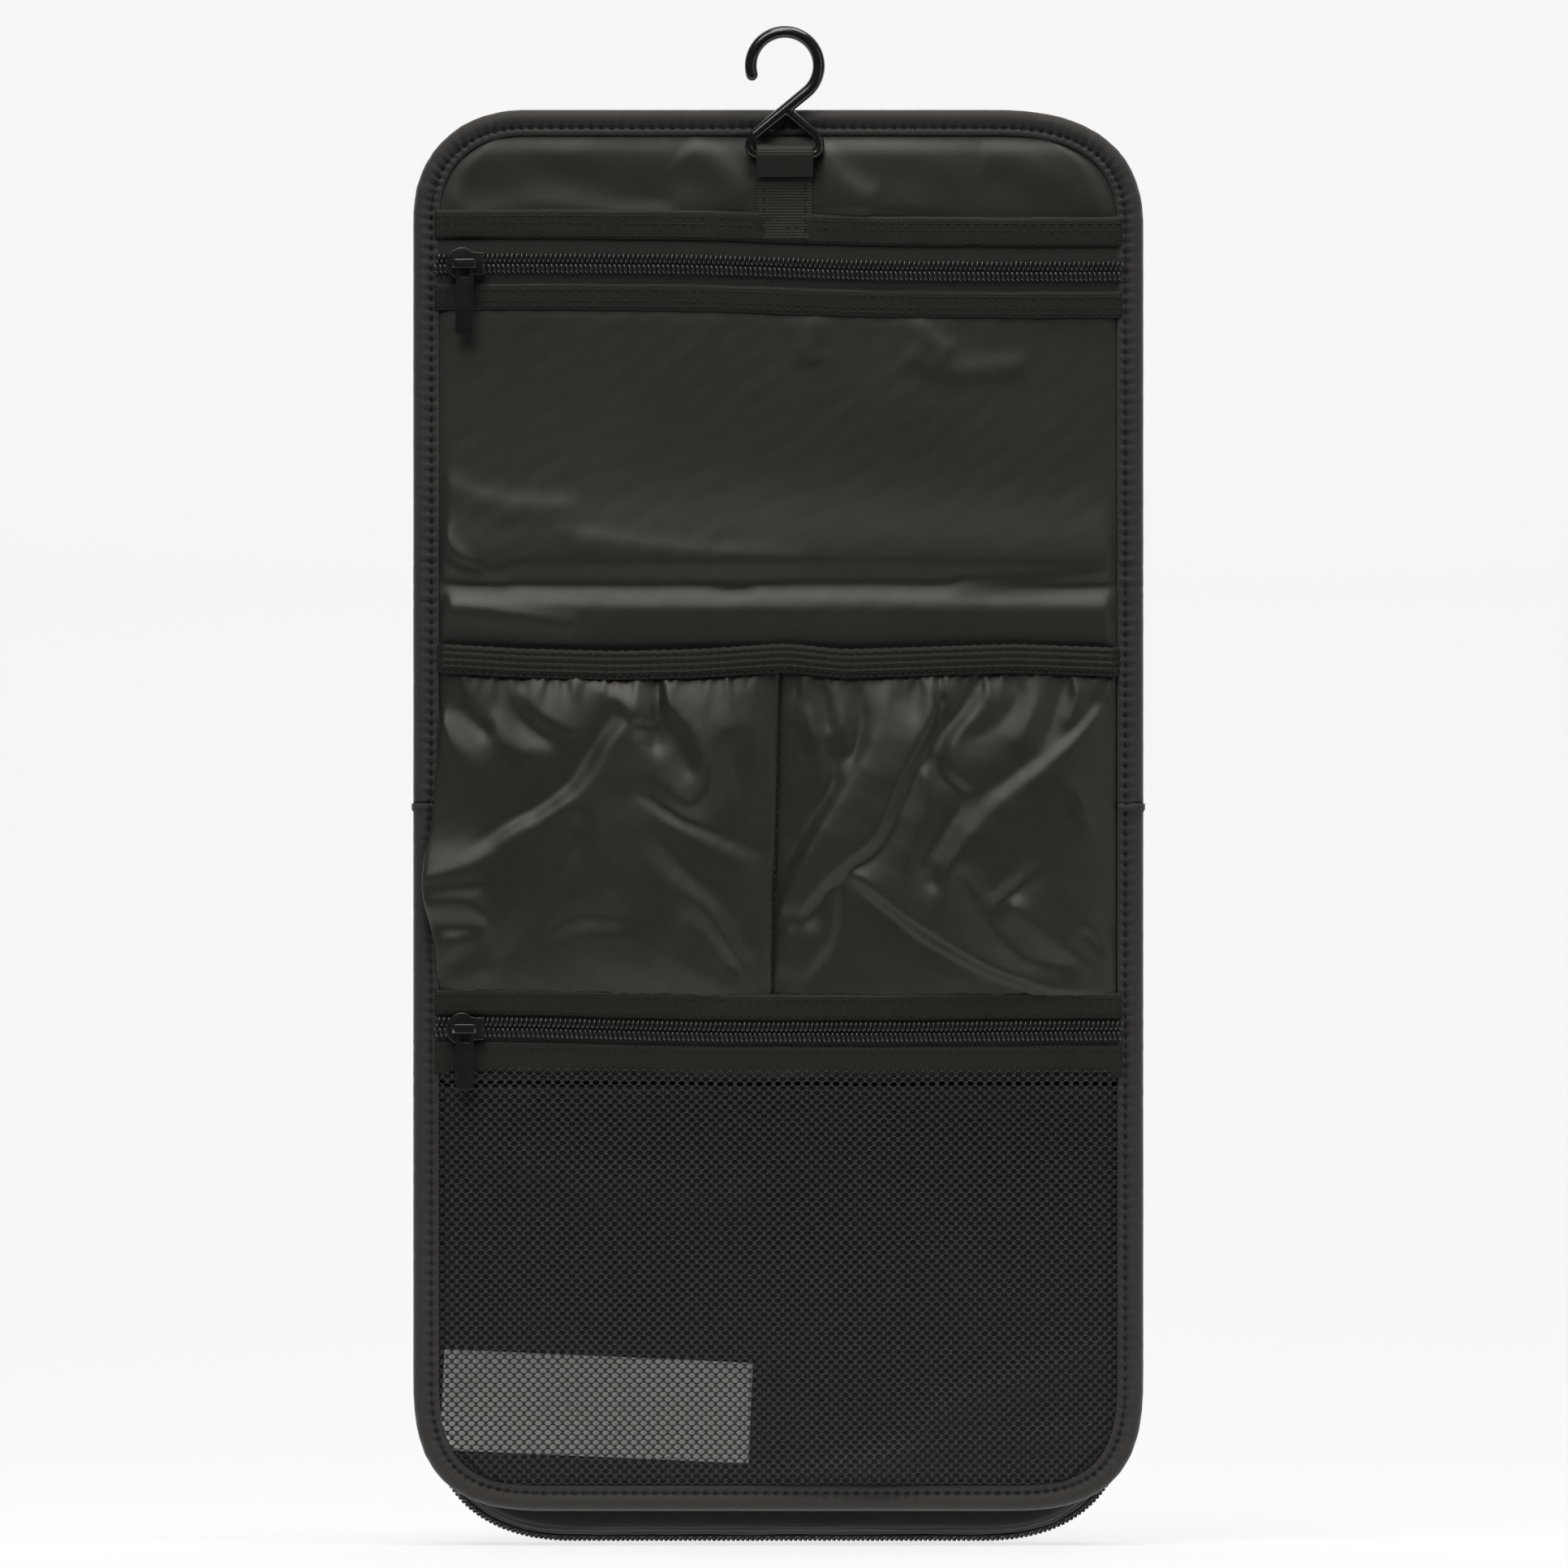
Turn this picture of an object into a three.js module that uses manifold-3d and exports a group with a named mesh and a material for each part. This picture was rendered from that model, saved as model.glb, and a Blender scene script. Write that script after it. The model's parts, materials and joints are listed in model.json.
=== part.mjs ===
// Hanging toiletry bag: three padded panels that fold over one another, a swivelling hook on a
// webbing loop, two front zips with sliders, gathered pockets, a net pocket and a zip-round
// compartment behind the lowest panel. Millimetres, +Z up, the front faces -Y. The origin is the
// inside top of the hook, where it sits on a rail. The pieces are drawn with y = 0 at the front
// of the lining, and the whole group is then moved back so that the hook is at y = 0.
import * as THREE from 'three';
import { mergeVertices } from 'three/addons/utils/BufferGeometryUtils.js';
import Module from 'manifold-3d';

const wasm = await Module();
wasm.setup();

// ---- Driving dimensions -------------------------------------------------------------------

// Outline of the bag, seen from the front.
const BAG_X = -2; // the bag's middle, beside the hook's middle
const HALF_WIDTH = 112.25;
const TOP_Z = -22.1;
const UPPER_FOLD_Z = -167.4;
const LOWER_FOLD_Z = -321.6;
const BOTTOM_Z = -452.9;
const TOP_CORNER = 32;
const BOTTOM_CORNER = { across: 33, up: 44 };
const FOLD_GAP = 0.4;

// Layers of a padded panel, front to back along Y.
const LINING = { front: 0, back: 0.5 };
const PADDING = { front: 0.8, back: 2.8 };
const COVER = { front: 3.1, back: 4.1 };
const PANEL_INSET = 2.3; // the layers end inside the binding
const CLEAR = 0.3;

// Binding folded round the edge of every panel.
const BINDING_WIDTH = 7.75;
const BINDING_FRONT = -1.8;
const BINDING_BACK = 5.9;
const BINDING_CORE = PANEL_INSET - CLEAR;
const INNER = BINDING_WIDTH + CLEAR; // inset of what lies between the bindings

// Pocket fronts that lie on the lining.
const POCKET_FRONT = { front: -0.9, back: -0.4 };

// Zips: tape, coil and the grosgrain trims sewn over the tape.
const COIL_HALF = 3.1;
const COIL_FRONT = -3;
const TAPE_REACH = 7.5;
const TRIM = { front: -1.8, back: -1.2 };
const TOP_ZIP = { z: -70.6, upperTrim: [8.6, 17], lowerTrim: [6.1, 14.4], tilt: 0.0118 };
const MESH_ZIP = { z: -304.6, upperTrim: [3.8, 11.1], lowerTrim: [4.6, 14.4], tilt: 0 };
const SLIDER_START = -96.3; // from the bag's middle
const SLIDER = {
  length: 11.4,
  height: 9.8,
  front: -5.2,
  thickness: 1.8,
  archFront: -8.2,
  archReach: 3.1,
  archWall: 1.1,
  archHalf: 1.1,
};
const PULLER = { width: 5.4, thickness: 1.3, y: -6.2, bar: 0.6, window: { half: 1.6, reach: 4.3 } };
const TOP_PULLER_LENGTH = 22.5;
const MESH_PULLER_LENGTH = 19.5;

// Gathered pockets and their elastic.
const ELASTIC = { top: -187.1, bottom: -197.4, front: -3.6, back: -2.6 };
const GATHER_BOTTOM = -293.1;
const GATHER_DEPTH = 7.6;
const GATHER_WALL = 0.8;
const DIVIDER_X = -0.5;

// Care label behind the net.
const LABEL = { width: 95, height: 31.3, x: -56.5, z: -420.7, tilt: 0.044 };

// Compartment behind the lowest panel.
const BOX = {
  half: 106,
  top: -325.5,
  bottom: -461.6,
  front: 6.2,
  back: 44.2,
  wall: 1,
  flange: 8,
  topCorner: 8,
  bottomCorner: { across: 42, up: 40 },
};
const ZIP_Y = 25.2;
const ZIP_HALF = 4;
const ZIP_END_Z = -334;
const PIPING = { proud: 1, width: 2.4, depth: 2.6 };
const MAIN_SLIDER_Z = -341;

// Hook: bent from one rod, thicker in the arc than in the triangle that the webbing holds.
const HOOK = {
  y: -4.1,
  centerZ: -8.65,
  arcRadius: 10.45,
  rod: 1.8,
  thinRod: 1.3,
  barZ: -35.8,
  cornerX: 10.6,
  cornerRadius: 2,
  legAngle: 0.688,
  tipAngle: Math.PI * 1.085,
};
const STRAP = { half: 8.6, thickness: 1, bottom: -53.2, flapEnd: -42.7, back: -1.1 };

// ---- Materials ----------------------------------------------------------------------------

const finish = (color, roughness, metalness = 0) =>
  new THREE.MeshStandardMaterial({ color, roughness, metalness });

const COLORS = {
  binding: () => finish(0x35312f, 0.75),
  lining: () => finish(0x2a2925, 0.55),
  foam: () => finish(0x8a8a86, 0.95),
  cover: () => finish(0x302d2b, 0.8),
  grosgrain: () => finish(0x23211c, 0.85),
  zip: () => finish(0x1a1917, 0.6),
  metal: () => finish(0x17171a, 0.3, 0.8),
  hook: () => finish(0x1d1b18, 0.25),
  elastic: () => finish(0x2c2b27, 0.8),
  net: () => finish(0x21211c, 0.8),
  label: () => finish(0xe8e6e0, 0.7),
};

// ---- Solids -------------------------------------------------------------------------------

function toSolid(geometry) {
  const bare = geometry.clone();
  bare.deleteAttribute('normal');
  bare.deleteAttribute('uv');
  const merged = mergeVertices(bare, 1e-4);
  return new wasm.Manifold(
    new wasm.Mesh({
      numProp: 3,
      vertProperties: new Float32Array(merged.attributes.position.array),
      triVerts: new Uint32Array(merged.index.array),
    }),
  );
}

function toGeometry(solid) {
  const mesh = solid.getMesh();
  const geometry = new THREE.BufferGeometry();
  geometry.setAttribute('position', new THREE.BufferAttribute(mesh.vertProperties, 3));
  geometry.setIndex(new THREE.BufferAttribute(mesh.triVerts, 1));
  geometry.computeVertexNormals();
  return geometry;
}

function cut(body, ...tools) {
  let solid = toSolid(body);
  for (const tool of tools) solid = solid.subtract(toSolid(tool));
  return toGeometry(solid);
}

function common(body, tool) {
  return toGeometry(toSolid(body).intersect(toSolid(tool)));
}

function join(first, ...others) {
  let solid = toSolid(first);
  for (const other of others) solid = solid.add(toSolid(other));
  return toGeometry(solid);
}

// A flat shape drawn in x and z, standing between two planes of y.
function plate(shape, front, back) {
  const geometry = new THREE.ExtrudeGeometry(shape, {
    depth: back - front,
    bevelEnabled: false,
    curveSegments: 6,
  });
  geometry.rotateX(Math.PI / 2);
  geometry.translate(0, back, 0);
  return geometry;
}

// A side profile drawn in y and z, running along x.
function bar(profile, left, right) {
  const geometry = new THREE.ExtrudeGeometry(profile, {
    depth: right - left,
    bevelEnabled: false,
    curveSegments: 8,
  });
  const axes = new THREE.Matrix4().makeBasis(
    new THREE.Vector3(0, 1, 0),
    new THREE.Vector3(0, 0, 1),
    new THREE.Vector3(1, 0, 0),
  );
  geometry.applyMatrix4(axes);
  geometry.translate(left, 0, 0);
  return geometry;
}

function block(x0, x1, y0, y1, z0, z1) {
  const geometry = new THREE.BoxGeometry(x1 - x0, y1 - y0, z1 - z0);
  geometry.translate((x0 + x1) / 2, (y0 + y1) / 2, (z0 + z1) / 2);
  return geometry;
}

function polygon(points) {
  return new THREE.Shape(points.map(([u, v]) => new THREE.Vector2(u, v)));
}

// A closed outline with straight sides; each end is square or has rounded corners.
function outline({ half, top, bottom, topCorner, bottomCorner }) {
  const shape = new THREE.Shape();
  if (bottomCorner) {
    const { across, up } = bottomCorner;
    shape.moveTo(-half + across, bottom);
    shape.lineTo(half - across, bottom);
    shape.absellipse(half - across, bottom + up, across, up, -Math.PI / 2, 0, false, 0);
  } else {
    shape.moveTo(-half, bottom);
    shape.lineTo(half, bottom);
  }
  if (topCorner) {
    const r = topCorner;
    shape.lineTo(half, top - r);
    shape.absarc(half - r, top - r, r, 0, Math.PI / 2, false);
    shape.lineTo(-half + r, top);
    shape.absarc(-half + r, top - r, r, Math.PI / 2, Math.PI, false);
  } else {
    shape.lineTo(half, top);
    shape.lineTo(-half, top);
  }
  if (bottomCorner) {
    const { across, up } = bottomCorner;
    shape.lineTo(-half, bottom + up);
    shape.absellipse(-half + across, bottom + up, across, up, Math.PI, Math.PI * 1.5, false, 0);
  }
  shape.closePath();
  return shape;
}

// ---- Panels and bindings --------------------------------------------------------------------

const SECTIONS = {
  top: { top: TOP_Z, bottom: UPPER_FOLD_Z + FOLD_GAP / 2, roundTop: true },
  middle: { top: UPPER_FOLD_Z - FOLD_GAP / 2, bottom: LOWER_FOLD_Z + FOLD_GAP / 2 },
  bottom: { top: LOWER_FOLD_Z - FOLD_GAP / 2, bottom: BOTTOM_Z, roundBottom: true },
};

// One section's outline moved in from the bag's edge; `past` lengthens its square ends.
function sectionShape(section, inset, past = 0) {
  const { across, up } = BOTTOM_CORNER;
  return outline({
    half: HALF_WIDTH - inset,
    top: section.roundTop ? section.top - inset : section.top + past,
    bottom: section.roundBottom ? section.bottom + inset : section.bottom - past,
    topCorner: section.roundTop && TOP_CORNER - inset,
    bottomCorner: section.roundBottom && { across: across - inset, up: up - inset },
  });
}

function layer(section, { front, back }, inset = PANEL_INSET) {
  return plate(sectionShape(section, inset), front, back);
}

// A roll of binding with a slot for the edge of the panel.
function binding(section) {
  return cut(
    plate(sectionShape(section, 0), BINDING_FRONT, BINDING_BACK),
    plate(sectionShape(section, BINDING_WIDTH, 1), BINDING_FRONT - 1, BINDING_BACK + 1),
    plate(sectionShape(section, BINDING_CORE, 1), LINING.front - CLEAR, COVER.back + CLEAR),
  );
}

// The same roll along one straight side: a channel that opens towards the panel.
function sideBinding(section, side) {
  const profile = [
    [HALF_WIDTH - BINDING_WIDTH, BINDING_FRONT],
    [HALF_WIDTH, BINDING_FRONT],
    [HALF_WIDTH, BINDING_BACK],
    [HALF_WIDTH - BINDING_WIDTH, BINDING_BACK],
    [HALF_WIDTH - BINDING_WIDTH, COVER.back + CLEAR],
    [HALF_WIDTH - BINDING_CORE, COVER.back + CLEAR],
    [HALF_WIDTH - BINDING_CORE, LINING.front - CLEAR],
    [HALF_WIDTH - BINDING_WIDTH, LINING.front - CLEAR],
  ].map(([x, y]) => [x * side, y]);
  const geometry = new THREE.ExtrudeGeometry(polygon(side > 0 ? profile : profile.reverse()), {
    depth: section.top - section.bottom,
    bevelEnabled: false,
  });
  geometry.translate(0, 0, section.bottom);
  return geometry;
}

// ---- Front zips -----------------------------------------------------------------------------

// Half of a zip: a strip of tape with the coil along its inner edge. side is +1 above, -1 below.
function stringer(zip, side) {
  const inner = 0.15 * side;
  const coil = COIL_HALF * side;
  const reach = TAPE_REACH * side;
  const tapeBack = POCKET_FRONT.back;
  const tapeFront = POCKET_FRONT.front;
  const points = [
    [tapeBack, inner],
    [COIL_FRONT, inner],
    [COIL_FRONT, coil],
    [tapeFront, coil],
    [tapeFront, reach],
    [tapeBack, reach],
  ];
  const profile = polygon(side > 0 ? points.reverse() : points);
  const end = HALF_WIDTH - INNER - Math.abs(zip.tilt) * 10;
  return bar(profile, -end, end);
}

function trim(zip, side) {
  const [near, far] = side > 0 ? zip.upperTrim : zip.lowerTrim;
  const z = [near * side, far * side].sort((a, b) => a - b);
  const end = HALF_WIDTH - INNER - Math.abs(zip.tilt) * 18;
  return block(-end, end, TRIM.front, TRIM.back, z[0], z[1]);
}

// Slider: a plate over the coil, rounded where it takes in the open zip, with an arch that the
// puller's cross-bar lies under. The zip runs along local x.
function sliderPlate() {
  const { length, height, front, thickness } = SLIDER;
  const shape = new THREE.Shape();
  shape.moveTo(length / 2, -height * 0.36);
  shape.lineTo(length / 2, height * 0.36);
  shape.lineTo(0, height / 2);
  shape.absarc(-length / 2 + height / 2, 0, height / 2, Math.PI / 2, Math.PI * 1.5, false);
  shape.lineTo(0, -height / 2);
  shape.closePath();
  return plate(shape, front, front + thickness);
}

function sliderArch() {
  const { front, archFront, archReach, archWall, archHalf } = SLIDER;
  const inside = archReach - archWall;
  return cut(
    block(-archHalf, archHalf, archFront, front + 0.5, -archReach, archReach),
    block(-2, 2, archFront + archWall - 0.15, front + 1, -inside, inside),
  );
}

function sliderBody() {
  return join(sliderPlate(), sliderArch());
}

// Puller: a flat bar that hangs from a cross-bar at local z = 0, with a window under it that
// clears the slider's arch at every angle.
function puller(length) {
  const { width, thickness, y, bar: crossBar, window } = PULLER;
  const shape = outline({
    half: width / 2,
    top: crossBar,
    bottom: crossBar - length,
    topCorner: crossBar * 0.8,
    bottomCorner: { across: 1.2, up: 1.2 },
  });
  const body = plate(shape, y - thickness / 2, y + thickness / 2);
  const half = window.half;
  return cut(body, block(-half, half, y - 2, y + 2, -window.reach, -crossBar));
}

// ---- Pockets --------------------------------------------------------------------------------

// A sheet that bellies out from under the elastic and comes back to the panel at its foot.
function gatheredPocket(left, right) {
  const top = ELASTIC.top - 1;
  const reach = top - GATHER_BOTTOM;
  const steps = 14;
  const depthAt = (t) => 1.9 + (GATHER_DEPTH - 1.9) * Math.sin(Math.PI * Math.min(1, t * 0.62)) ** 1.4;
  const foot = (t) => (t > 0.8 ? (1 - t) / 0.2 : 1);
  const front = [];
  const back = [];
  for (let i = 0; i <= steps; i += 1) {
    const t = i / steps;
    const z = top - reach * t;
    const depth = 1.25 + (depthAt(t) - 1.25) * Math.sin((foot(t) * Math.PI) / 2);
    front.push([-depth, z]);
    back.push([-depth + GATHER_WALL, z]);
  }
  return bar(polygon([...front, ...back.reverse()]), left, right);
}

// ---- Compartment ----------------------------------------------------------------------------

function boxShape(inset) {
  const { across, up } = BOX.bottomCorner;
  return outline({
    half: BOX.half - inset,
    top: BOX.top - inset,
    bottom: BOX.bottom + inset,
    topCorner: Math.max(BOX.topCorner - inset, 1),
    bottomCorner: { across: across - inset, up: up - inset },
  });
}

function boxRing(outer, inner, front, back) {
  return cut(plate(boxShape(outer), front, back), plate(boxShape(inner), front - 1, back + 1));
}

// What lies below the ends of the zip, as a block to cut with.
function belowZipEnds(front, back) {
  return block(-BOX.half - 5, BOX.half + 5, front, back, BOX.bottom - 5, ZIP_END_Z);
}

function frontGusset() {
  const flange = boxRing(0, BOX.flange, BOX.front, BOX.front + BOX.wall);
  const wall = boxRing(0, BOX.wall, BOX.front + 0.5, ZIP_Y - CLEAR / 2);
  return cut(join(flange, wall), belowZipEnds(ZIP_Y - ZIP_HALF - CLEAR, ZIP_Y + 1));
}

function rearGusset() {
  const back = BOX.back - PIPING.depth - CLEAR;
  const wall = boxRing(0, BOX.wall, ZIP_Y + CLEAR / 2, back);
  return cut(wall, belowZipEnds(ZIP_Y - 1, ZIP_Y + ZIP_HALF + CLEAR));
}

// Half of the zip that runs down one side, along the bottom and up the other side.
function mainZipHalf(front, back) {
  const ring = boxRing(-0.5, 1.5, front, back);
  return common(ring, block(-BOX.half - 5, BOX.half + 5, front - 1, back + 1, BOX.bottom - 5, ZIP_END_Z - CLEAR));
}

// The side zip's slider and puller: the same castings turned to face sideways, running along z.
function ontoSide(geometry) {
  geometry.rotateZ(Math.PI / 2);
  geometry.translate(BOX.half + 0.5 + CLEAR + SLIDER.front + SLIDER.thickness, ZIP_Y, 0);
  return geometry;
}

function mainSlider() {
  const upright = sliderPlate();
  upright.rotateY(-Math.PI / 2);
  return ontoSide(join(upright, sliderArch()));
}

// ---- Hook and webbing -------------------------------------------------------------------------

function rodAlong(path, radius, steps) {
  const section = new THREE.Shape();
  section.absarc(0, 0, radius, 0, Math.PI * 2, false);
  return new THREE.ExtrudeGeometry(section, {
    steps,
    curveSegments: 5,
    bevelEnabled: false,
    extrudePath: path,
  });
}

function ball(point, radius) {
  const geometry = new THREE.SphereGeometry(radius, 10, 8);
  geometry.translate(point.x, point.y, point.z);
  return geometry;
}

// A path of straight runs whose corners are rounded with quadratic bends.
function roundedPath(points, radius) {
  const path = new THREE.CurvePath();
  let from = points[0];
  for (let i = 1; i < points.length - 1; i += 1) {
    const corner = points[i];
    const before = corner.clone().add(from.clone().sub(corner).setLength(radius));
    const after = corner.clone().add(points[i + 1].clone().sub(corner).setLength(radius));
    path.add(new THREE.LineCurve3(from, before));
    path.add(new THREE.QuadraticBezierCurve3(before, corner, after));
    from = after;
  }
  path.add(new THREE.LineCurve3(from, points[points.length - 1]));
  return path;
}

function hangingHook() {
  const { y, centerZ, arcRadius, rod, thinRod, barZ, cornerX, cornerRadius, legAngle, tipAngle } = HOOK;
  const at = (x, z) => new THREE.Vector3(x, y, z);
  const onArc = (angle) => at(arcRadius * Math.cos(angle), centerZ + arcRadius * Math.sin(angle));
  const leaveAngle = legAngle - Math.PI / 2;
  const arcPoints = [];
  const arcSteps = 16;
  for (let i = 0; i <= arcSteps; i += 1) {
    arcPoints.push(onArc(tipAngle + ((leaveAngle - tipAngle) * i) / arcSteps));
  }
  const leave = onArc(leaveAngle);
  const slope = Math.tan(legAngle);
  const lowerLeft = at(-cornerX, leave.z - (leave.x + cornerX) * slope);
  const crossing = at(1, leave.z - (leave.x - 1) * slope);
  const rightShoulder = at(cornerX, crossing.z - (cornerX - crossing.x) * 0.8);
  const arc = rodAlong(new THREE.CatmullRomCurve3(arcPoints), rod, 24);
  const leg = rodAlong(new THREE.LineCurve3(leave, lowerLeft), rod * 0.9, 1);
  const triangle = rodAlong(
    roundedPath([lowerLeft, at(-cornerX, barZ), at(cornerX, barZ), rightShoulder, crossing], cornerRadius),
    thinRod,
    24,
  );
  return join(
    arc,
    ball(onArc(tipAngle), rod),
    ball(leave, rod),
    leg,
    ball(lowerLeft, rod * 0.9),
    triangle,
    ball(crossing, thinRod),
  );
}

// Webbing that lies on the header, loops round the hook's bar and comes back as a short flap.
function hangingStrap() {
  const { thickness, bottom, flapEnd, back } = STRAP;
  const inner = HOOK.thinRod + CLEAR;
  const outer = inner + thickness;
  const front = back - thickness;
  const shape = new THREE.Shape();
  shape.moveTo(back, bottom);
  shape.lineTo(back, -41);
  shape.lineTo(HOOK.y + outer, HOOK.barZ);
  shape.absarc(HOOK.y, HOOK.barZ, outer, 0, Math.PI, false);
  shape.lineTo(HOOK.y - outer + 0.5, HOOK.barZ - 1.9);
  shape.lineTo(front - thickness, HOOK.barZ - 5);
  shape.lineTo(front - thickness, flapEnd);
  shape.lineTo(front, flapEnd);
  shape.lineTo(front, bottom);
  shape.closePath();
  const gap = new THREE.Path();
  gap.moveTo(HOOK.y + inner, HOOK.barZ);
  gap.lineTo(front - 0.1, HOOK.barZ - 4.4);
  gap.lineTo(HOOK.y - inner + 0.4, HOOK.barZ - 1.5);
  gap.lineTo(HOOK.y - inner, HOOK.barZ);
  gap.absarc(HOOK.y, HOOK.barZ, inner, Math.PI, 0, true);
  shape.holes.push(gap);
  return bar(shape, -STRAP.half, STRAP.half);
}

// ---- Assembly -------------------------------------------------------------------------------

function piece(name, geometry, color) {
  const mesh = new THREE.Mesh(geometry, COLORS[color]());
  mesh.name = name;
  return mesh;
}

function topPanel() {
  const group = new THREE.Group();
  const section = SECTIONS.top;
  group.add(piece('top_lining', layer(section, LINING), 'lining'));
  group.add(piece('top_padding', layer(section, PADDING), 'foam'));
  group.add(piece('top_cover', layer(section, COVER), 'cover'));
  group.add(piece('top_binding', binding(section), 'binding'));
  const across = HALF_WIDTH + 10;
  const drop = Math.tan(TOP_ZIP.tilt);
  const edge = (offset, x) => TOP_ZIP.z + offset - x * drop;
  const aboveZip = polygon([
    [-across, edge(TAPE_REACH + CLEAR, -across)],
    [across, edge(TAPE_REACH + CLEAR, across)],
    [across, 0],
    [-across, 0],
  ]);
  const belowZip = polygon([
    [-across, -200],
    [across, -200],
    [across, edge(-TAPE_REACH - CLEAR, across)],
    [-across, edge(-TAPE_REACH - CLEAR, -across)],
  ]);
  const pocket = layer(section, POCKET_FRONT, INNER);
  const header = common(pocket, plate(aboveZip, -2, 2));
  const front = common(pocket, plate(belowZip, -2, 2));
  group.add(piece('top_pocket_header', header, 'lining'));
  group.add(piece('top_pocket_front', front, 'lining'));
  return group;
}

function middlePanel() {
  const group = new THREE.Group();
  const section = SECTIONS.middle;
  group.add(piece('middle_lining', layer(section, LINING), 'lining'));
  group.add(piece('middle_padding', layer(section, PADDING), 'foam'));
  group.add(piece('middle_cover', layer(section, COVER), 'cover'));
  group.add(piece('middle_binding_left', sideBinding(section, -1), 'binding'));
  group.add(piece('middle_binding_right', sideBinding(section, 1), 'binding'));
  const end = HALF_WIDTH - INNER;
  group.add(piece('left_gathered_pocket', gatheredPocket(-end, DIVIDER_X - CLEAR / 2), 'lining'));
  group.add(piece('right_gathered_pocket', gatheredPocket(DIVIDER_X + CLEAR / 2, end), 'lining'));
  const { front, back, top, bottom } = ELASTIC;
  group.add(piece('pocket_elastic', block(-end, end, front, back, bottom, top), 'elastic'));
  return group;
}

function frontZip(name, zip, pullerLength) {
  const group = new THREE.Group();
  group.add(piece(`${name}_upper_stringer`, stringer(zip, 1), 'zip'));
  group.add(piece(`${name}_lower_stringer`, stringer(zip, -1), 'zip'));
  group.add(piece(`${name}_upper_trim`, trim(zip, 1), 'grosgrain'));
  group.add(piece(`${name}_lower_trim`, trim(zip, -1), 'grosgrain'));
  const slider = piece(`${name}_slider`, sliderBody(), 'metal');
  slider.position.x = SLIDER_START;
  group.add(slider);
  const pull = piece(`${name}_puller`, puller(pullerLength), 'metal');
  pull.position.x = SLIDER_START;
  group.add(pull);
  group.position.z = zip.z;
  group.rotation.y = zip.tilt;
  return group;
}

function bottomPanel() {
  const group = new THREE.Group();
  const section = SECTIONS.bottom;
  group.add(piece('bottom_lining', layer(section, LINING), 'lining'));
  group.add(piece('bottom_padding', layer(section, PADDING), 'foam'));
  group.add(piece('compartment_front_wall', layer(section, COVER), 'cover'));
  group.add(piece('bottom_binding', binding(section), 'binding'));
  group.add(piece('net_pocket', layer(section, { front: -1.7, back: -1.2 }, INNER), 'net'));
  const label = block(-LABEL.width / 2, LABEL.width / 2, -0.75, -0.45, -LABEL.height / 2, LABEL.height / 2);
  label.rotateY(LABEL.tilt);
  label.translate(LABEL.x, 0, LABEL.z);
  const inside = layer(section, { front: -2, back: 2 }, INNER);
  group.add(piece('care_label', common(label, inside), 'label'));
  return group;
}

function compartment() {
  const group = new THREE.Group();
  group.add(piece('front_gusset', frontGusset(), 'cover'));
  group.add(piece('main_zip_front_half', mainZipHalf(ZIP_Y - ZIP_HALF, ZIP_Y - CLEAR / 2), 'zip'));
  const slider = piece('main_zip_slider', mainSlider(), 'metal');
  slider.position.z = MAIN_SLIDER_Z;
  group.add(slider);
  const pull = piece('main_zip_puller', ontoSide(puller(TOP_PULLER_LENGTH)), 'metal');
  pull.position.z = MAIN_SLIDER_Z;
  group.add(pull);
  return group;
}

function compartmentLid() {
  const group = new THREE.Group();
  group.add(piece('main_zip_rear_half', mainZipHalf(ZIP_Y + CLEAR / 2, ZIP_Y + ZIP_HALF), 'zip'));
  group.add(piece('rear_gusset', rearGusset(), 'cover'));
  const front = BOX.back - PIPING.depth;
  const piping = boxRing(-PIPING.proud, PIPING.width - PIPING.proud, front, BOX.back - 0.2);
  group.add(piece('rear_piping', piping, 'binding'));
  const inset = PIPING.width - PIPING.proud + CLEAR;
  group.add(piece('rear_lining', plate(boxShape(inset), front, front + 0.5), 'lining'));
  group.add(piece('rear_cover', plate(boxShape(inset), front + 0.8, BOX.back), 'cover'));
  return group;
}

const bag = new THREE.Group();
bag.position.x = BAG_X;
bag.add(topPanel());
bag.add(frontZip('top_zip', TOP_ZIP, TOP_PULLER_LENGTH));
bag.add(middlePanel());
bag.add(frontZip('mesh_zip', MESH_ZIP, MESH_PULLER_LENGTH));
bag.add(bottomPanel());
bag.add(compartment());
bag.add(compartmentLid());

const toiletryBag = new THREE.Group();
toiletryBag.position.y = -HOOK.y;
toiletryBag.add(piece('hanging_hook', hangingHook(), 'hook'));
toiletryBag.add(piece('hanging_strap', hangingStrap(), 'grosgrain'));
toiletryBag.add(bag);

export default toiletryBag;
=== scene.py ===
"""Hanging toiletry bag: the cloth, binding, zips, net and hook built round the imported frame.

Lengths inside this file are millimetres in the frame's own axes (+Z up, the front faces -Y), and a
mesh is turned into metres as it is made. Depths called "deep" are measured back from the front of
the lining, so something that stands in front of the lining has a negative depth.
"""

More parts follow.
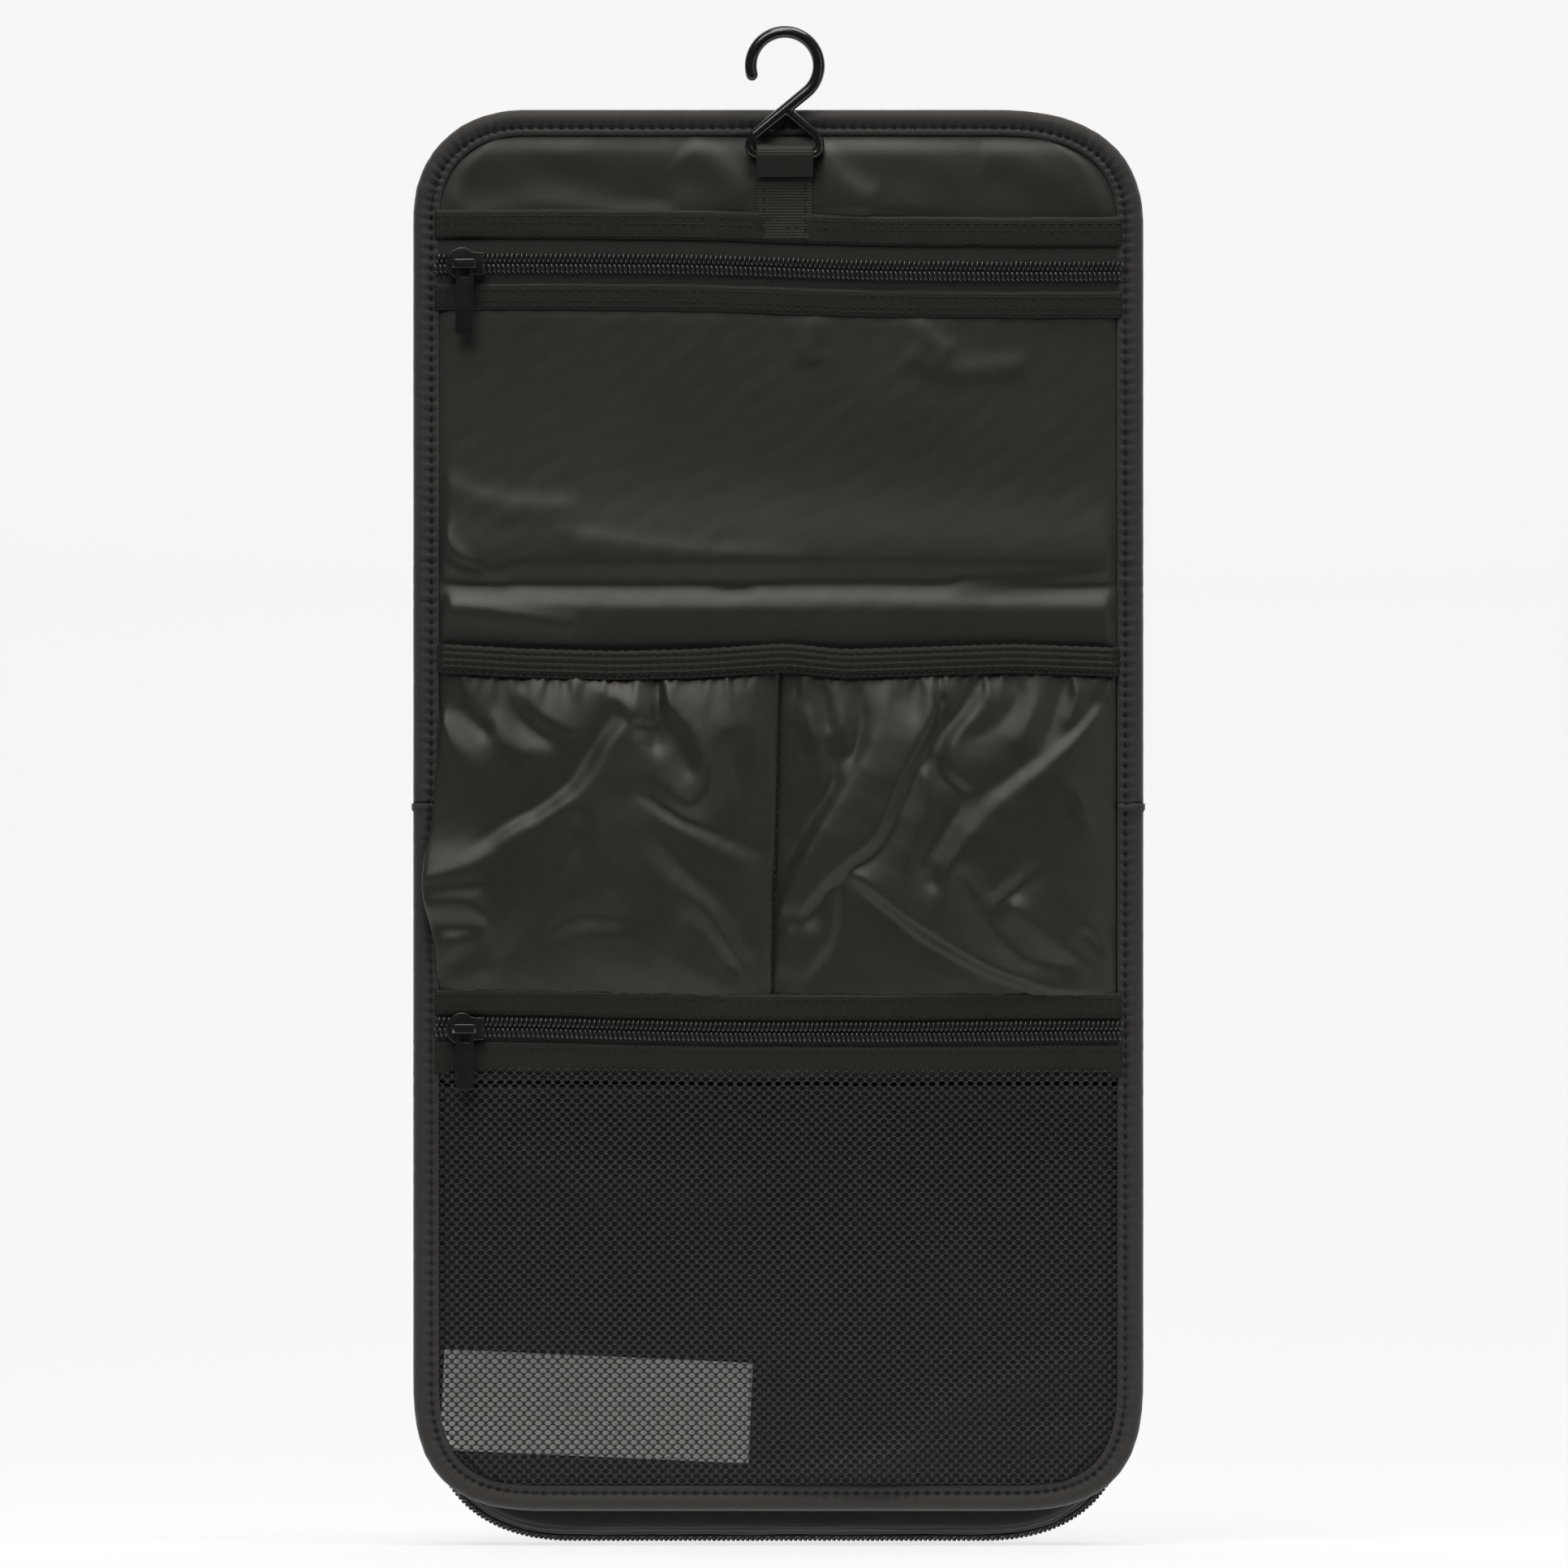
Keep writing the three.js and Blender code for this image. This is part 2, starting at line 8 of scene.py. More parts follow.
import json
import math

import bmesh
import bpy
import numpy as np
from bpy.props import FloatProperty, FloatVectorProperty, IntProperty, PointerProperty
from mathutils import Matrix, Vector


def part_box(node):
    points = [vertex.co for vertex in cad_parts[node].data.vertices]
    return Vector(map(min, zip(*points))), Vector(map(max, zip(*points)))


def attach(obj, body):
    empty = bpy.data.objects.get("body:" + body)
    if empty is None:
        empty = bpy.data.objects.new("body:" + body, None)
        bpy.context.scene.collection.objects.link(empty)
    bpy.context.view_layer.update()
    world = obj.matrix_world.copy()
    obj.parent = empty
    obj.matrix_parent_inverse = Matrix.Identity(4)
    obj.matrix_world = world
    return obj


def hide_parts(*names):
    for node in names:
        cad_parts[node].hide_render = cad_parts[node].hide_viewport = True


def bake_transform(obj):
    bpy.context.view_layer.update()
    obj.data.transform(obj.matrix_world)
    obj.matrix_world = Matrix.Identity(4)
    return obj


bl_info = {
    "name": "Hanging Toiletry Bag",
    "version": (1, 0, 0),
    "blender": (4, 5, 0),
    "location": "View3D > Sidebar > Toiletry Bag",
    "description": "Builds an open hanging toiletry bag round its packed frame",
    "category": "Object",
}

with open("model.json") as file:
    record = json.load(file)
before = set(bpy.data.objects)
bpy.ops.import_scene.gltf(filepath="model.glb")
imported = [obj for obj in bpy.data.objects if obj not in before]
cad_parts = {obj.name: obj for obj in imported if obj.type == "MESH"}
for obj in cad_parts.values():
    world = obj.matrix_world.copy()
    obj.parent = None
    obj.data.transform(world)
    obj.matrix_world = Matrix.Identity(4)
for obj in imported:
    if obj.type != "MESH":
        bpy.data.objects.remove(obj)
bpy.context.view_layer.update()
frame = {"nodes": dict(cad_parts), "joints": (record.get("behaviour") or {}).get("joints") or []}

MM = 0.001


# ---- Places taken from the frame ---------------------------------------------


def span(node):
    """Lowest and highest corner of a node of the frame, in millimetres."""
    low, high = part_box(node)
    return np.array(low) / MM, np.array(high) / MM


JOINT_AT = {j["name"]: np.array(j["pos_m"]) / MM for j in frame["joints"] if j.get("pos_m")}
EDGE_LOW, EDGE_HIGH = span("top_binding")
MIDDLE = (EDGE_LOW[0] + EDGE_HIGH[0]) / 2
HALF = (EDGE_HIGH[0] - EDGE_LOW[0]) / 2
TOP = EDGE_HIGH[2]
BOTTOM = span("bottom_binding")[0][2]
UPPER_FOLD = JOINT_AT["upper_fold"][2]
LOWER_FOLD = JOINT_AT["lower_fold"][2]
LINING_FRONT = span("top_lining")[0][1]
COVER_DEEP = span("top_cover")[0][1] - LINING_FRONT
GUSSET_LOW, GUSSET_HIGH = span("front_gusset")
BOX_HALF = (GUSSET_HIGH[0] - GUSSET_LOW[0]) / 2
BOX_TOP = GUSSET_HIGH[2]
BOX_BOTTOM = GUSSET_LOW[2]
BOX_BACK_DEEP = span("rear_cover")[1][1] - LINING_FRONT
ZIP_SEAM_DEEP = JOINT_AT["lid_swing"][1] - LINING_FRONT
BAR_Z = JOINT_AT["hook_swing"][2]
HOOK_DEEP = JOINT_AT["hook_swing"][1] - LINING_FRONT
ELASTIC_LOW, ELASTIC_HIGH = span("pocket_elastic")
TOP_CHAIN = (span("top_zip_upper_stringer")[0][2] + span("top_zip_lower_stringer")[1][2]) / 2
LOWER_CHAIN = (span("mesh_zip_upper_stringer")[0][2] + span("mesh_zip_lower_stringer")[1][2]) / 2

# The binding's ends overlap at this height, half way down the middle panel.
BINDING_JOIN = UPPER_FOLD - 68.0
# How far each corner of the outline turns: across, down or up, and how square it is.
CORNERS = {
    (-1, 1): (35.0, 34.0, 2.2),
    (1, 1): (47.0, 37.5, 2.5),
    (-1, -1): (44.0, 43.0, 2.9),
    (1, -1): (44.0, 43.5, 2.9),
}
BOX_CORNER = (43.5, 37.2, 2.3)
BOX_TOP_CORNER = (9.0, 9.0, 2.0)


# ---- Settings that a user would change ---------------------------------------


class ClothSettings(bpy.types.PropertyGroup):
    lining_colour: FloatVectorProperty(
        name="Lining colour", description="Base colour of the satin twill lining",
        subtype="COLOR", size=4, min=0, max=1, default=(0.0165, 0.0152, 0.0120, 1),
    )
    cover_colour: FloatVectorProperty(
        name="Cover colour", description="Base colour of the outer nylon cloth",
        subtype="COLOR", size=4, min=0, max=1, default=(0.0075, 0.0068, 0.0054, 1),
    )
    twill_pitch: FloatProperty(
        name="Twill pitch", description="Distance between two diagonal ribs of the twill",
        unit="LENGTH", default=0.00062, min=0.0002, max=0.003,
    )
    cloth_step: FloatProperty(
        name="Cloth step", description="Distance between two rows of a cloth mesh",
        unit="LENGTH", default=0.0011, min=0.0005, max=0.005,
    )
    thickness: FloatProperty(
        name="Cloth thickness", description="Thickness of the lining cloth",
        unit="LENGTH", default=0.00035, min=0.0001, max=0.001,
    )


class BindingSettings(bpy.types.PropertyGroup):
    colour: FloatVectorProperty(
        name="Binding colour", description="Base colour of the soft binding",
        subtype="COLOR", size=4, min=0, max=1, default=(0.0265, 0.0228, 0.0212, 1),
    )
    stitch_pitch: FloatProperty(
        name="Stitch pitch", description="Length of one stitch with its gap",
        unit="LENGTH", default=0.0031, min=0.001, max=0.01,
    )
    pucker: FloatProperty(
        name="Pucker", description="How far the binding is drawn in between its stitches",
        unit="LENGTH", default=0.00045, min=0, max=0.002,
    )


class ZipSettings(bpy.types.PropertyGroup):
    tooth_pitch: FloatProperty(
        name="Tooth pitch", description="Distance between two turns of the coil",
        unit="LENGTH", default=0.00148, min=0.0005, max=0.006,
    )
    tape_colour: FloatVectorProperty(
        name="Tape colour", description="Base colour of zip tape and grosgrain",
        subtype="COLOR", size=4, min=0, max=1, default=(0.0112, 0.0100, 0.0076, 1),
    )
    metal_colour: FloatVectorProperty(
        name="Slider colour", description="Base colour of the painted sliders and pullers",
        subtype="COLOR", size=4, min=0, max=1, default=(0.010, 0.010, 0.010, 1),
    )


class NetSettings(bpy.types.PropertyGroup):
    pitch_across: FloatProperty(
        name="Pitch across", description="Distance between two holes in a row of the net",
        unit="LENGTH", default=0.00295, min=0.001, max=0.01,
    )
    pitch_down: FloatProperty(
        name="Pitch down", description="Distance between two rows of holes",
        unit="LENGTH", default=0.00146, min=0.001, max=0.01,
    )
    seed: IntProperty(
        name="Seed", description="Changes the small unevenness of stitches and teeth",
        default=7, min=0, max=999,
    )


class StudioSettings(bpy.types.PropertyGroup):
    view_width: FloatProperty(
        name="View width", description="Width that the camera sees at the bag",
        unit="LENGTH", default=0.4818, min=0.1, max=3,
    )
    camera_distance: FloatProperty(
        name="Camera distance", description="Distance from the camera to the lining",
        unit="LENGTH", default=7.5, min=0.5, max=10,
    )


class BagSettings(bpy.types.PropertyGroup):
    cloth: PointerProperty(type=ClothSettings)
    binding: PointerProperty(type=BindingSettings)
    zips: PointerProperty(type=ZipSettings)
    net: PointerProperty(type=NetSettings)
    studio: PointerProperty(type=StudioSettings)


def settings():
    return bpy.context.scene.toiletry_bag


# ---- Small mathematics -------------------------------------------------------


def smooth(x):
    """0 below 0, 1 above 1, and a soft step between."""
    t = np.clip(x, 0, 1)
    return t * t * (3 - 2 * t)


def bump(x, centre, width):
    return np.exp(-(((x - centre) / width) ** 2))


def waves(x, z, seed, size, count=7):
    """Soft irregular unevenness about 0, with swells roughly `size` millimetres apart."""
    rng = np.random.default_rng(seed)
    total = np.zeros(np.broadcast(x, z).shape)
    for _ in range(count):
        angle, phase = rng.uniform(0, math.tau, 2)
        length = size * rng.uniform(0.6, 1.7)
        total = total + np.sin((x * math.cos(angle) + z * math.sin(angle)) * math.tau / length + phase)
    return total / count


def resampled(points, spacing):
    """Points set evenly along a polyline, about `spacing` apart, both ends kept."""
    points = np.asarray(points, float)
    steps = np.linalg.norm(np.diff(points, axis=0), axis=1)
    along = np.concatenate([[0], np.cumsum(steps)])
    count = max(2, int(round(along[-1] / spacing)) + 1)
    wanted = np.linspace(0, along[-1], count)
    return np.stack([np.interp(wanted, along, points[:, k]) for k in range(points.shape[1])], 1)


def distance_to_line(x, z, points):
    """Distance to a polyline, the side of it (-1 or 1) and the share of its length, for every x and z."""
    points = np.asarray(points, float)
    lengths = np.linalg.norm(np.diff(points, axis=0), axis=1)
    starts = np.concatenate([[0], np.cumsum(lengths)])
    best = np.full(x.shape, 1e9)
    side = np.ones(x.shape)
    share = np.zeros(x.shape)
    for k, length in enumerate(lengths):
        a, d = points[k], (points[k + 1] - points[k]) / length
        t = np.clip((x - a[0]) * d[0] + (z - a[1]) * d[1], 0, length)
        dx, dz = x - a[0] - t * d[0], z - a[1] - t * d[1]
        far = np.hypot(dx, dz)
        nearer = far < best
        best = np.where(nearer, far, best)
        side = np.where(nearer, np.sign(d[0] * dz - d[1] * dx), side)
        share = np.where(nearer, (starts[k] + t) / starts[-1], share)
    return best, side, share


def fold(x, z, points, height, left, right=None, ends=(0.12, 0.12)):
    """A rounded fold of cloth along a line, with its own width on each side, fading at its ends."""
    right = left if right is None else right
    far, side, share = distance_to_line(x, z, curved(points))
    width = np.where(side > 0, left, right)
    fade = smooth(share / ends[0] + 0.15) * smooth((1 - share) / ends[1] + 0.15)
    return height * np.exp(-((far / width) ** 2)) * fade


def curved(points, steps=8):
    """A smooth line through the points."""
    p = np.asarray(points, float)
    if len(p) < 3:
        return p
    padded = np.vstack([2 * p[0] - p[1], p, 2 * p[-1] - p[-2]])
    line = []
    for k in range(1, len(padded) - 2):
        a, b, c, d = padded[k - 1 : k + 3]
        for t in np.linspace(0, 1, steps, endpoint=False):
            square, cube = 2 * a - 5 * b + 4 * c - d, 3 * b - a - 3 * c + d
            line.append(0.5 * (2 * b + (c - a) * t + square * t**2 + cube * t**3))
    return np.array([*line, p[-1]])


# ---- Outlines ----------------------------------------------------------------


def half_width(z, side, inset=0.0):
    """How far the bag's edge lies from its middle at each height, moved in by `inset`."""
    z = np.asarray(z, float)
    width = np.full(z.shape, HALF - inset)
    for end, edge in ((1, TOP), (-1, BOTTOM)):
        across, up, power = CORNERS[(side, end)]
        share = np.clip((end * (z - edge) + up) / (up - inset), 0, 1)
        width -= (across - inset) * (1 - (1 - share**power) ** (1 / power))
    return width


def corner_points(centre, across, up, power, start, turn, count=40):
    """A quarter of a rounded corner. start and turn are angles in quarter turns."""
    angles = (start + turn * np.linspace(0, 1, count)) * math.pi / 2
    c, s = np.cos(angles), np.sin(angles)
    return np.stack(
        [
            centre[0] + across * np.sign(c) * np.abs(c) ** (2 / power),
            centre[1] + up * np.sign(s) * np.abs(s) ** (2 / power),
        ],
        1,
    )


def bag_edge(side_from):
    """The outline's upper part, clockwise from the left join, or its lower part from the right join."""
    if side_from == "left":
        corners, edge, turns = [(-1, 1), (1, 1)], TOP, [(2, -1), (1, -1)]
    else:
        corners, edge, turns = [(1, -1), (-1, -1)], BOTTOM, [(0, -1), (3, -1)]
    points = []
    for (side, end), (start, turn) in zip(corners, turns):
        across, up, power = CORNERS[(side, end)]
        centre = (MIDDLE + side * (HALF - across), edge - end * up)
        points.append(corner_points(centre, across, up, power, start, turn))
    first, last = points[0][0], points[1][-1]
    ends = [[first[0], BINDING_JOIN]], [[last[0], BINDING_JOIN]]
    return np.vstack([ends[0], *points, ends[1]])


def box_edge(inset=0.0, closed=True):
    """The compartment's outline, clockwise from the top of its left side."""
    a, up, power = BOX_CORNER
    ta, tup, tpower = BOX_TOP_CORNER
    half, top, low = BOX_HALF - inset, BOX_TOP - inset, BOX_BOTTOM + inset
    a, up, ta, tup = a - inset, up - inset, ta - inset * 0.5, tup - inset * 0.5
    quarters = [
        corner_points((MIDDLE - half + ta, top - tup), ta, tup, tpower, 2, -1, 12),
        corner_points((MIDDLE + half - ta, top - tup), ta, tup, tpower, 1, -1, 12),
        corner_points((MIDDLE + half - a, low + up), a, up, power, 0, -1),
        corner_points((MIDDLE - half + a, low + up), a, up, power, 3, -1),
    ]
    if closed:
        return np.vstack([*quarters, quarters[0][:1]])
    return np.vstack([quarters[2], quarters[3]])


def inward(points):
    """The direction into the bag at each point of a clockwise outline."""
    ahead = np.gradient(points, axis=0)
    if np.allclose(points[0], points[-1]):
        ahead[0] = ahead[-1] = points[1] - points[-2]
    ahead /= np.linalg.norm(ahead, axis=1)[:, None]
    return np.stack([ahead[:, 1], -ahead[:, 0]], 1)


# ---- Meshes ------------------------------------------------------------------


def to_object(name, points, faces, material, smooth_faces=True):
    """A mesh object whose place is in its mesh, from points in millimetres."""
    mesh = bpy.data.meshes.new(name)
    mesh.from_pydata((np.asarray(points) * MM).tolist(), [], faces)
    mesh.update()
    tidy = bmesh.new()
    tidy.from_mesh(mesh)
    bmesh.ops.recalc_face_normals(tidy, faces=tidy.faces)
    tidy.to_mesh(mesh)
    tidy.free()
    mesh.polygons.foreach_set("use_smooth", [smooth_faces] * len(mesh.polygons))
    if material is not None:
        mesh.materials.append(material)
    made = bpy.data.objects.new(name, mesh)
    bpy.context.scene.collection.objects.link(made)
    return made


def grid_normals(grid):
    down = np.gradient(grid, axis=0)
    across = np.gradient(grid, axis=1)
    normal = np.cross(down, across)
    return normal / np.maximum(np.linalg.norm(normal, axis=2), 1e-9)[:, :, None]


def shell(name, grid, thickness, material):
    """A closed sheet: `grid` holds its front surface, top row first and left to right."""
    rows, cols = grid.shape[:2]
    back = grid - grid_normals(grid) * thickness
    points = np.concatenate([grid.reshape(-1, 3), back.reshape(-1, 3)])
    index = np.arange(rows * cols).reshape(rows, cols)
    quads = np.stack([index[:-1, :-1], index[1:, :-1], index[1:, 1:], index[:-1, 1:]], -1).reshape(-1, 4)
    other = quads[:, ::-1] + rows * cols
    rim = np.concatenate([index[0, :], index[1:, -1], index[-1, -2::-1], index[-2:0:-1, 0]])
    after = np.roll(rim, -1)
    sides = np.stack([rim, after, after + rows * cols, rim + rows * cols], -1)
    return to_object(name, points, np.concatenate([quads, other, sides]).tolist(), material)


def tube_faces(stations, around, closed):
    index = np.arange(stations * around).reshape(stations, around)
    if closed:
        index = np.vstack([index, index[:1]])
    beside = np.roll(index, -1, axis=1)
    faces = np.stack([index[:-1], index[1:], beside[1:], beside[:-1]], -1).reshape(-1, 4).tolist()
    if not closed:
        faces += [index[0, ::-1].tolist(), index[-1].tolist()]
    return faces


def swept(name, path, section, material, shape=None, closed=False):
    """A closed section of (inward, deep) points carried along an outline in the bag's plane.

    shape(along, inward, deep) may move the section's points at each station.
    """
    points = path[:-1] if closed else path
    into = inward(path)[:-1] if closed else inward(path)
    section = np.asarray(section, float)
    steps = np.linalg.norm(np.diff(points, axis=0), axis=1)
    along = np.concatenate([[0], np.cumsum(steps)])[:, None]
    n = np.repeat(section[None, :, 0], len(points), 0)
    y = np.repeat(section[None, :, 1], len(points), 0)
    if shape is not None:
        n, y = shape(along, points, n, y)
    x = points[:, None, 0] + into[:, None, 0] * n
    z = points[:, None, 1] + into[:, None, 1] * n
    grid = np.stack([x, y + LINING_FRONT, z], -1)
    return to_object(name, grid.reshape(-1, 3), tube_faces(len(points), len(section), closed), material)


def rod(points, radii, sides=16):
    """Points and faces of a round rod along a line in space, with rounded ends."""
    points = np.asarray(points, float)
    radii = np.broadcast_to(np.asarray(radii, float), len(points)).copy()
    ahead = np.gradient(points, axis=0)
    ahead /= np.linalg.norm(ahead, axis=1)[:, None]
    caps = [(-0.95, 0.3), (-0.7, 0.7), (-0.35, 0.93)]
    front = [(points[0] + ahead[0] * radii[0] * d, ahead[0], radii[0] * r) for d, r in caps]
    back = [(points[-1] - ahead[-1] * radii[-1] * d, ahead[-1], radii[-1] * r) for d, r in caps[::-1]]
    stations = [*front, *zip(points, ahead, radii), *back]
    up = np.array([0.0, 1.0, 0.0])
    rings = []
    for centre, direction, radius in stations:
        first = np.cross(direction, up)
        first /= np.linalg.norm(first)
        second = np.cross(direction, first)
        angles = np.linspace(0, math.tau, sides, endpoint=False)[:, None]
        rings.append(centre + radius * (np.cos(angles) * first + np.sin(angles) * second))
    return np.vstack(rings), tube_faces(len(stations), sides, False)


def joined(parts):
    points, faces, start = [], [], 0
    for some, their_faces in parts:
        points.append(some)
        faces += [[start + i for i in face] for face in their_faces]
        start += len(some)
    return np.vstack(points), faces


def finished(made, *modifiers):
    """Applies modifiers, given as (type, values), and leaves a plain mesh."""
    for kind, values in modifiers:
        modifier = made.modifiers.new(kind.title(), kind)
        for key, value in values.items():
            setattr(modifier, key, value)
    graph = bpy.context.evaluated_depsgraph_get()
    mesh = bpy.data.meshes.new_from_object(made.evaluated_get(graph), depsgraph=graph)
    mesh.name = made.name
    old = made.data
    made.modifiers.clear()
    made.data = mesh
    bpy.data.meshes.remove(old)
    return made


def refined(name, node, width, material):
    """A finely bevelled copy of a cast piece of the frame, which it then stands for."""
    mesh = frame["nodes"][node].data.copy()
    mesh.name = name
    edit = bmesh.new()
    edit.from_mesh(mesh)
    bmesh.ops.remove_doubles(edit, verts=edit.verts, dist=0.00002)
    bmesh.ops.dissolve_limit(
        edit, angle_limit=math.radians(3), verts=edit.verts, edges=edit.edges
    )
    bmesh.ops.recalc_face_normals(edit, faces=edit.faces)
    edit.to_mesh(mesh)
    edit.free()
    mesh.materials.clear()
    mesh.materials.append(material)
    made = bpy.data.objects.new(name, mesh)
    bpy.context.scene.collection.objects.link(made)
    bevel = {"width": width * MM, "segments": 3, "limit_method": "ANGLE", "angle_limit": math.radians(35)}
    finished(made, ("BEVEL", bevel))
    made.data.polygons.foreach_set("use_smooth", [True] * len(made.data.polygons))
    made.data.set_sharp_from_angle(angle=math.radians(50))
    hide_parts(node)
    return made


def settle(piece, body, slot, *nodes):
    """Rides a finished piece on its body and hides the nodes it stands for; its slot is not used."""
    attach(piece, body)
    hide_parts(*nodes)


# ---- Repeated pieces, made with Geometry Nodes -------------------------------


def add_node(tree, kind, **values):
    """A node with its own settings; a value named like a socket is put on that input."""
    node = tree.nodes.new(kind)
    for key, value in values.items():
        if hasattr(node, key):
            setattr(node, key, value)
        else:
            node.inputs[key.replace("_", " ")].default_value = value
    return node


def tree_with(name, inputs):
    tree = bpy.data.node_groups.new(name, "GeometryNodeTree")
    for label, kind in inputs:
        tree.interface.new_socket(label, in_out="INPUT", socket_type=kind)
    tree.interface.new_socket("Made", in_out="OUTPUT", socket_type="NodeSocketGeometry")
    return tree, tree.nodes.new("NodeGroupInput"), tree.nodes.new("NodeGroupOutput")


def wired(tree, *links):
    """Links sockets, each given as (node, output, node, input)."""
    for source, given, target, taken in links:
        tree.links.new(source.outputs[given], target.inputs[taken])


def repeat_tree():
    """Sets a small unit at an even pitch along every line of a mesh."""
    name = "repeat along a seam"
    if name in bpy.data.node_groups:
        return bpy.data.node_groups[name]
    tree, given, made = tree_with(
        name,
        [
            ("Path", "NodeSocketGeometry"),
            ("Pitch", "NodeSocketFloat"),
            ("Unevenness", "NodeSocketFloat"),
            ("Seed", "NodeSocketInt"),
            ("Unit", "NodeSocketObject"),
            ("Finish", "NodeSocketMaterial"),
        ],
    )
    link = tree.links.new
    line = tree.nodes.new("GeometryNodeMeshToCurve")
    spots = add_node(tree, "GeometryNodeCurveToPoints", mode="LENGTH")
    turn = add_node(tree, "FunctionNodeAlignRotationToVector", axis="X", pivot_axis="Y")
    unit = add_node(tree, "GeometryNodeObjectInfo", transform_space="ORIGINAL")
    least = add_node(tree, "ShaderNodeMath", operation="SUBTRACT")
    least.inputs[0].default_value = 1.0
    most = add_node(tree, "ShaderNodeMath", operation="ADD")
    most.inputs[0].default_value = 1.0
    uneven = add_node(tree, "FunctionNodeRandomValue", data_type="FLOAT")
    place = tree.nodes.new("GeometryNodeInstanceOnPoints")
    real = tree.nodes.new("GeometryNodeRealizeInstances")
    paint = tree.nodes.new("GeometryNodeSetMaterial")
    wired(
        tree,
        (given, "Path", line, "Mesh"),
        (line, "Curve", spots, "Curve"),
        (given, "Pitch", spots, "Length"),
        (spots, "Tangent", turn, "Vector"),
        (given, "Unevenness", least, 1),
        (given, "Unevenness", most, 1),
    )
    link(least.outputs[0], [s for s in uneven.inputs if s.name == "Min" and s.type == "VALUE"][0])
    link(most.outputs[0], [s for s in uneven.inputs if s.name == "Max" and s.type == "VALUE"][0])
    wired(
        tree,
        (given, "Seed", uneven, "Seed"),
        (given, "Unit", unit, "Object"),
        (spots, "Points", place, "Points"),
        (unit, "Geometry", place, "Instance"),
        (turn, "Rotation", place, "Rotation"),
    )
    link([s for s in uneven.outputs if s.type == "VALUE"][0], place.inputs["Scale"])
    wired(
        tree,
        (place, "Instances", real, "Geometry"),
        (real, "Geometry", paint, "Geometry"),
        (given, "Finish", paint, "Material"),
        (paint, "Geometry", made, "Made"),
    )
    return tree


def net_tree():
    """Sets one cell of net at every place of a staggered grid and welds the cells together."""
    name = "net cloth"
    tree, given, made = tree_with(
        name,
        [
            ("Start", "NodeSocketGeometry"),
            ("Width", "NodeSocketFloat"),
            ("Height", "NodeSocketFloat"),
            ("Pitch Across", "NodeSocketFloat"),
            ("Pitch Down", "NodeSocketFloat"),
            ("Columns", "NodeSocketInt"),
            ("Rows", "NodeSocketInt"),
            ("Cell", "NodeSocketObject"),
            ("Finish", "NodeSocketMaterial"),
        ],
    )
    grid = tree.nodes.new("GeometryNodeMeshGrid")
    place = tree.nodes.new("GeometryNodeInputPosition")
    parts = tree.nodes.new("ShaderNodeSeparateXYZ")
    row = add_node(tree, "ShaderNodeMath", operation="DIVIDE")
    whole = add_node(tree, "ShaderNodeMath", operation="ROUND")
    even = add_node(tree, "ShaderNodeMath", operation="PINGPONG")
    even.inputs[1].default_value = 1.0
    step = add_node(tree, "ShaderNodeMath", operation="MULTIPLY")
    halved = add_node(tree, "ShaderNodeMath", operation="MULTIPLY")
    halved.inputs[1].default_value = 0.5
    offset = tree.nodes.new("ShaderNodeCombineXYZ")
    stagger = tree.nodes.new("GeometryNodeSetPosition")
    upright = add_node(tree, "GeometryNodeTransform")
    upright.inputs["Rotation"].default_value = (math.pi / 2, 0, 0)
    cell = add_node(tree, "GeometryNodeObjectInfo", transform_space="ORIGINAL")
    put = tree.nodes.new("GeometryNodeInstanceOnPoints")
    real = tree.nodes.new("GeometryNodeRealizeInstances")
    weld = tree.nodes.new("GeometryNodeMergeByDistance")
    weld.inputs["Distance"].default_value = 0.03 * MM
    paint = tree.nodes.new("GeometryNodeSetMaterial")
    wired(
        tree,
        (given, "Width", grid, "Size X"),
        (given, "Height", grid, "Size Y"),
        (given, "Columns", grid, "Vertices X"),
        (given, "Rows", grid, "Vertices Y"),
        (place, "Position", parts, "Vector"),
        (parts, "Y", row, 0),
        (given, "Pitch Down", row, 1),
        (row, 0, whole, 0),
        (whole, 0, even, 0),
        (given, "Pitch Across", halved, 0),
        (even, 0, step, 0),
        (halved, 0, step, 1),
        (step, 0, offset, "X"),
        (grid, "Mesh", stagger, "Geometry"),
        (offset, "Vector", stagger, "Offset"),
        (stagger, "Geometry", upright, "Geometry"),
        (given, "Cell", cell, "Object"),
        (upright, "Geometry", put, "Points"),
        (cell, "Geometry", put, "Instance"),
        (put, "Instances", real, "Geometry"),
        (real, "Geometry", weld, "Geometry"),
        (weld, "Geometry", paint, "Geometry"),
        (given, "Finish", paint, "Material"),
        (paint, "Geometry", made, "Made"),
    )
    return tree


def grown(name, start, tree, values):
    """The plain mesh that a node tree makes from a starting object, which is used up."""
    modifier = start.modifiers.new("Grow", "NODES")
    modifier.node_group = tree
    for item in tree.interface.items_tree:
        if item.in_out == "INPUT" and item.name in values:
            modifier[item.identifier] = values[item.name]
    graph = bpy.context.evaluated_depsgraph_get()
    mesh = bpy.data.meshes.new_from_object(start.evaluated_get(graph), depsgraph=graph)
    mesh.name = name
    bpy.data.objects.remove(start)
    made = bpy.data.objects.new(name, mesh)
    bpy.context.scene.collection.objects.link(made)
    return made


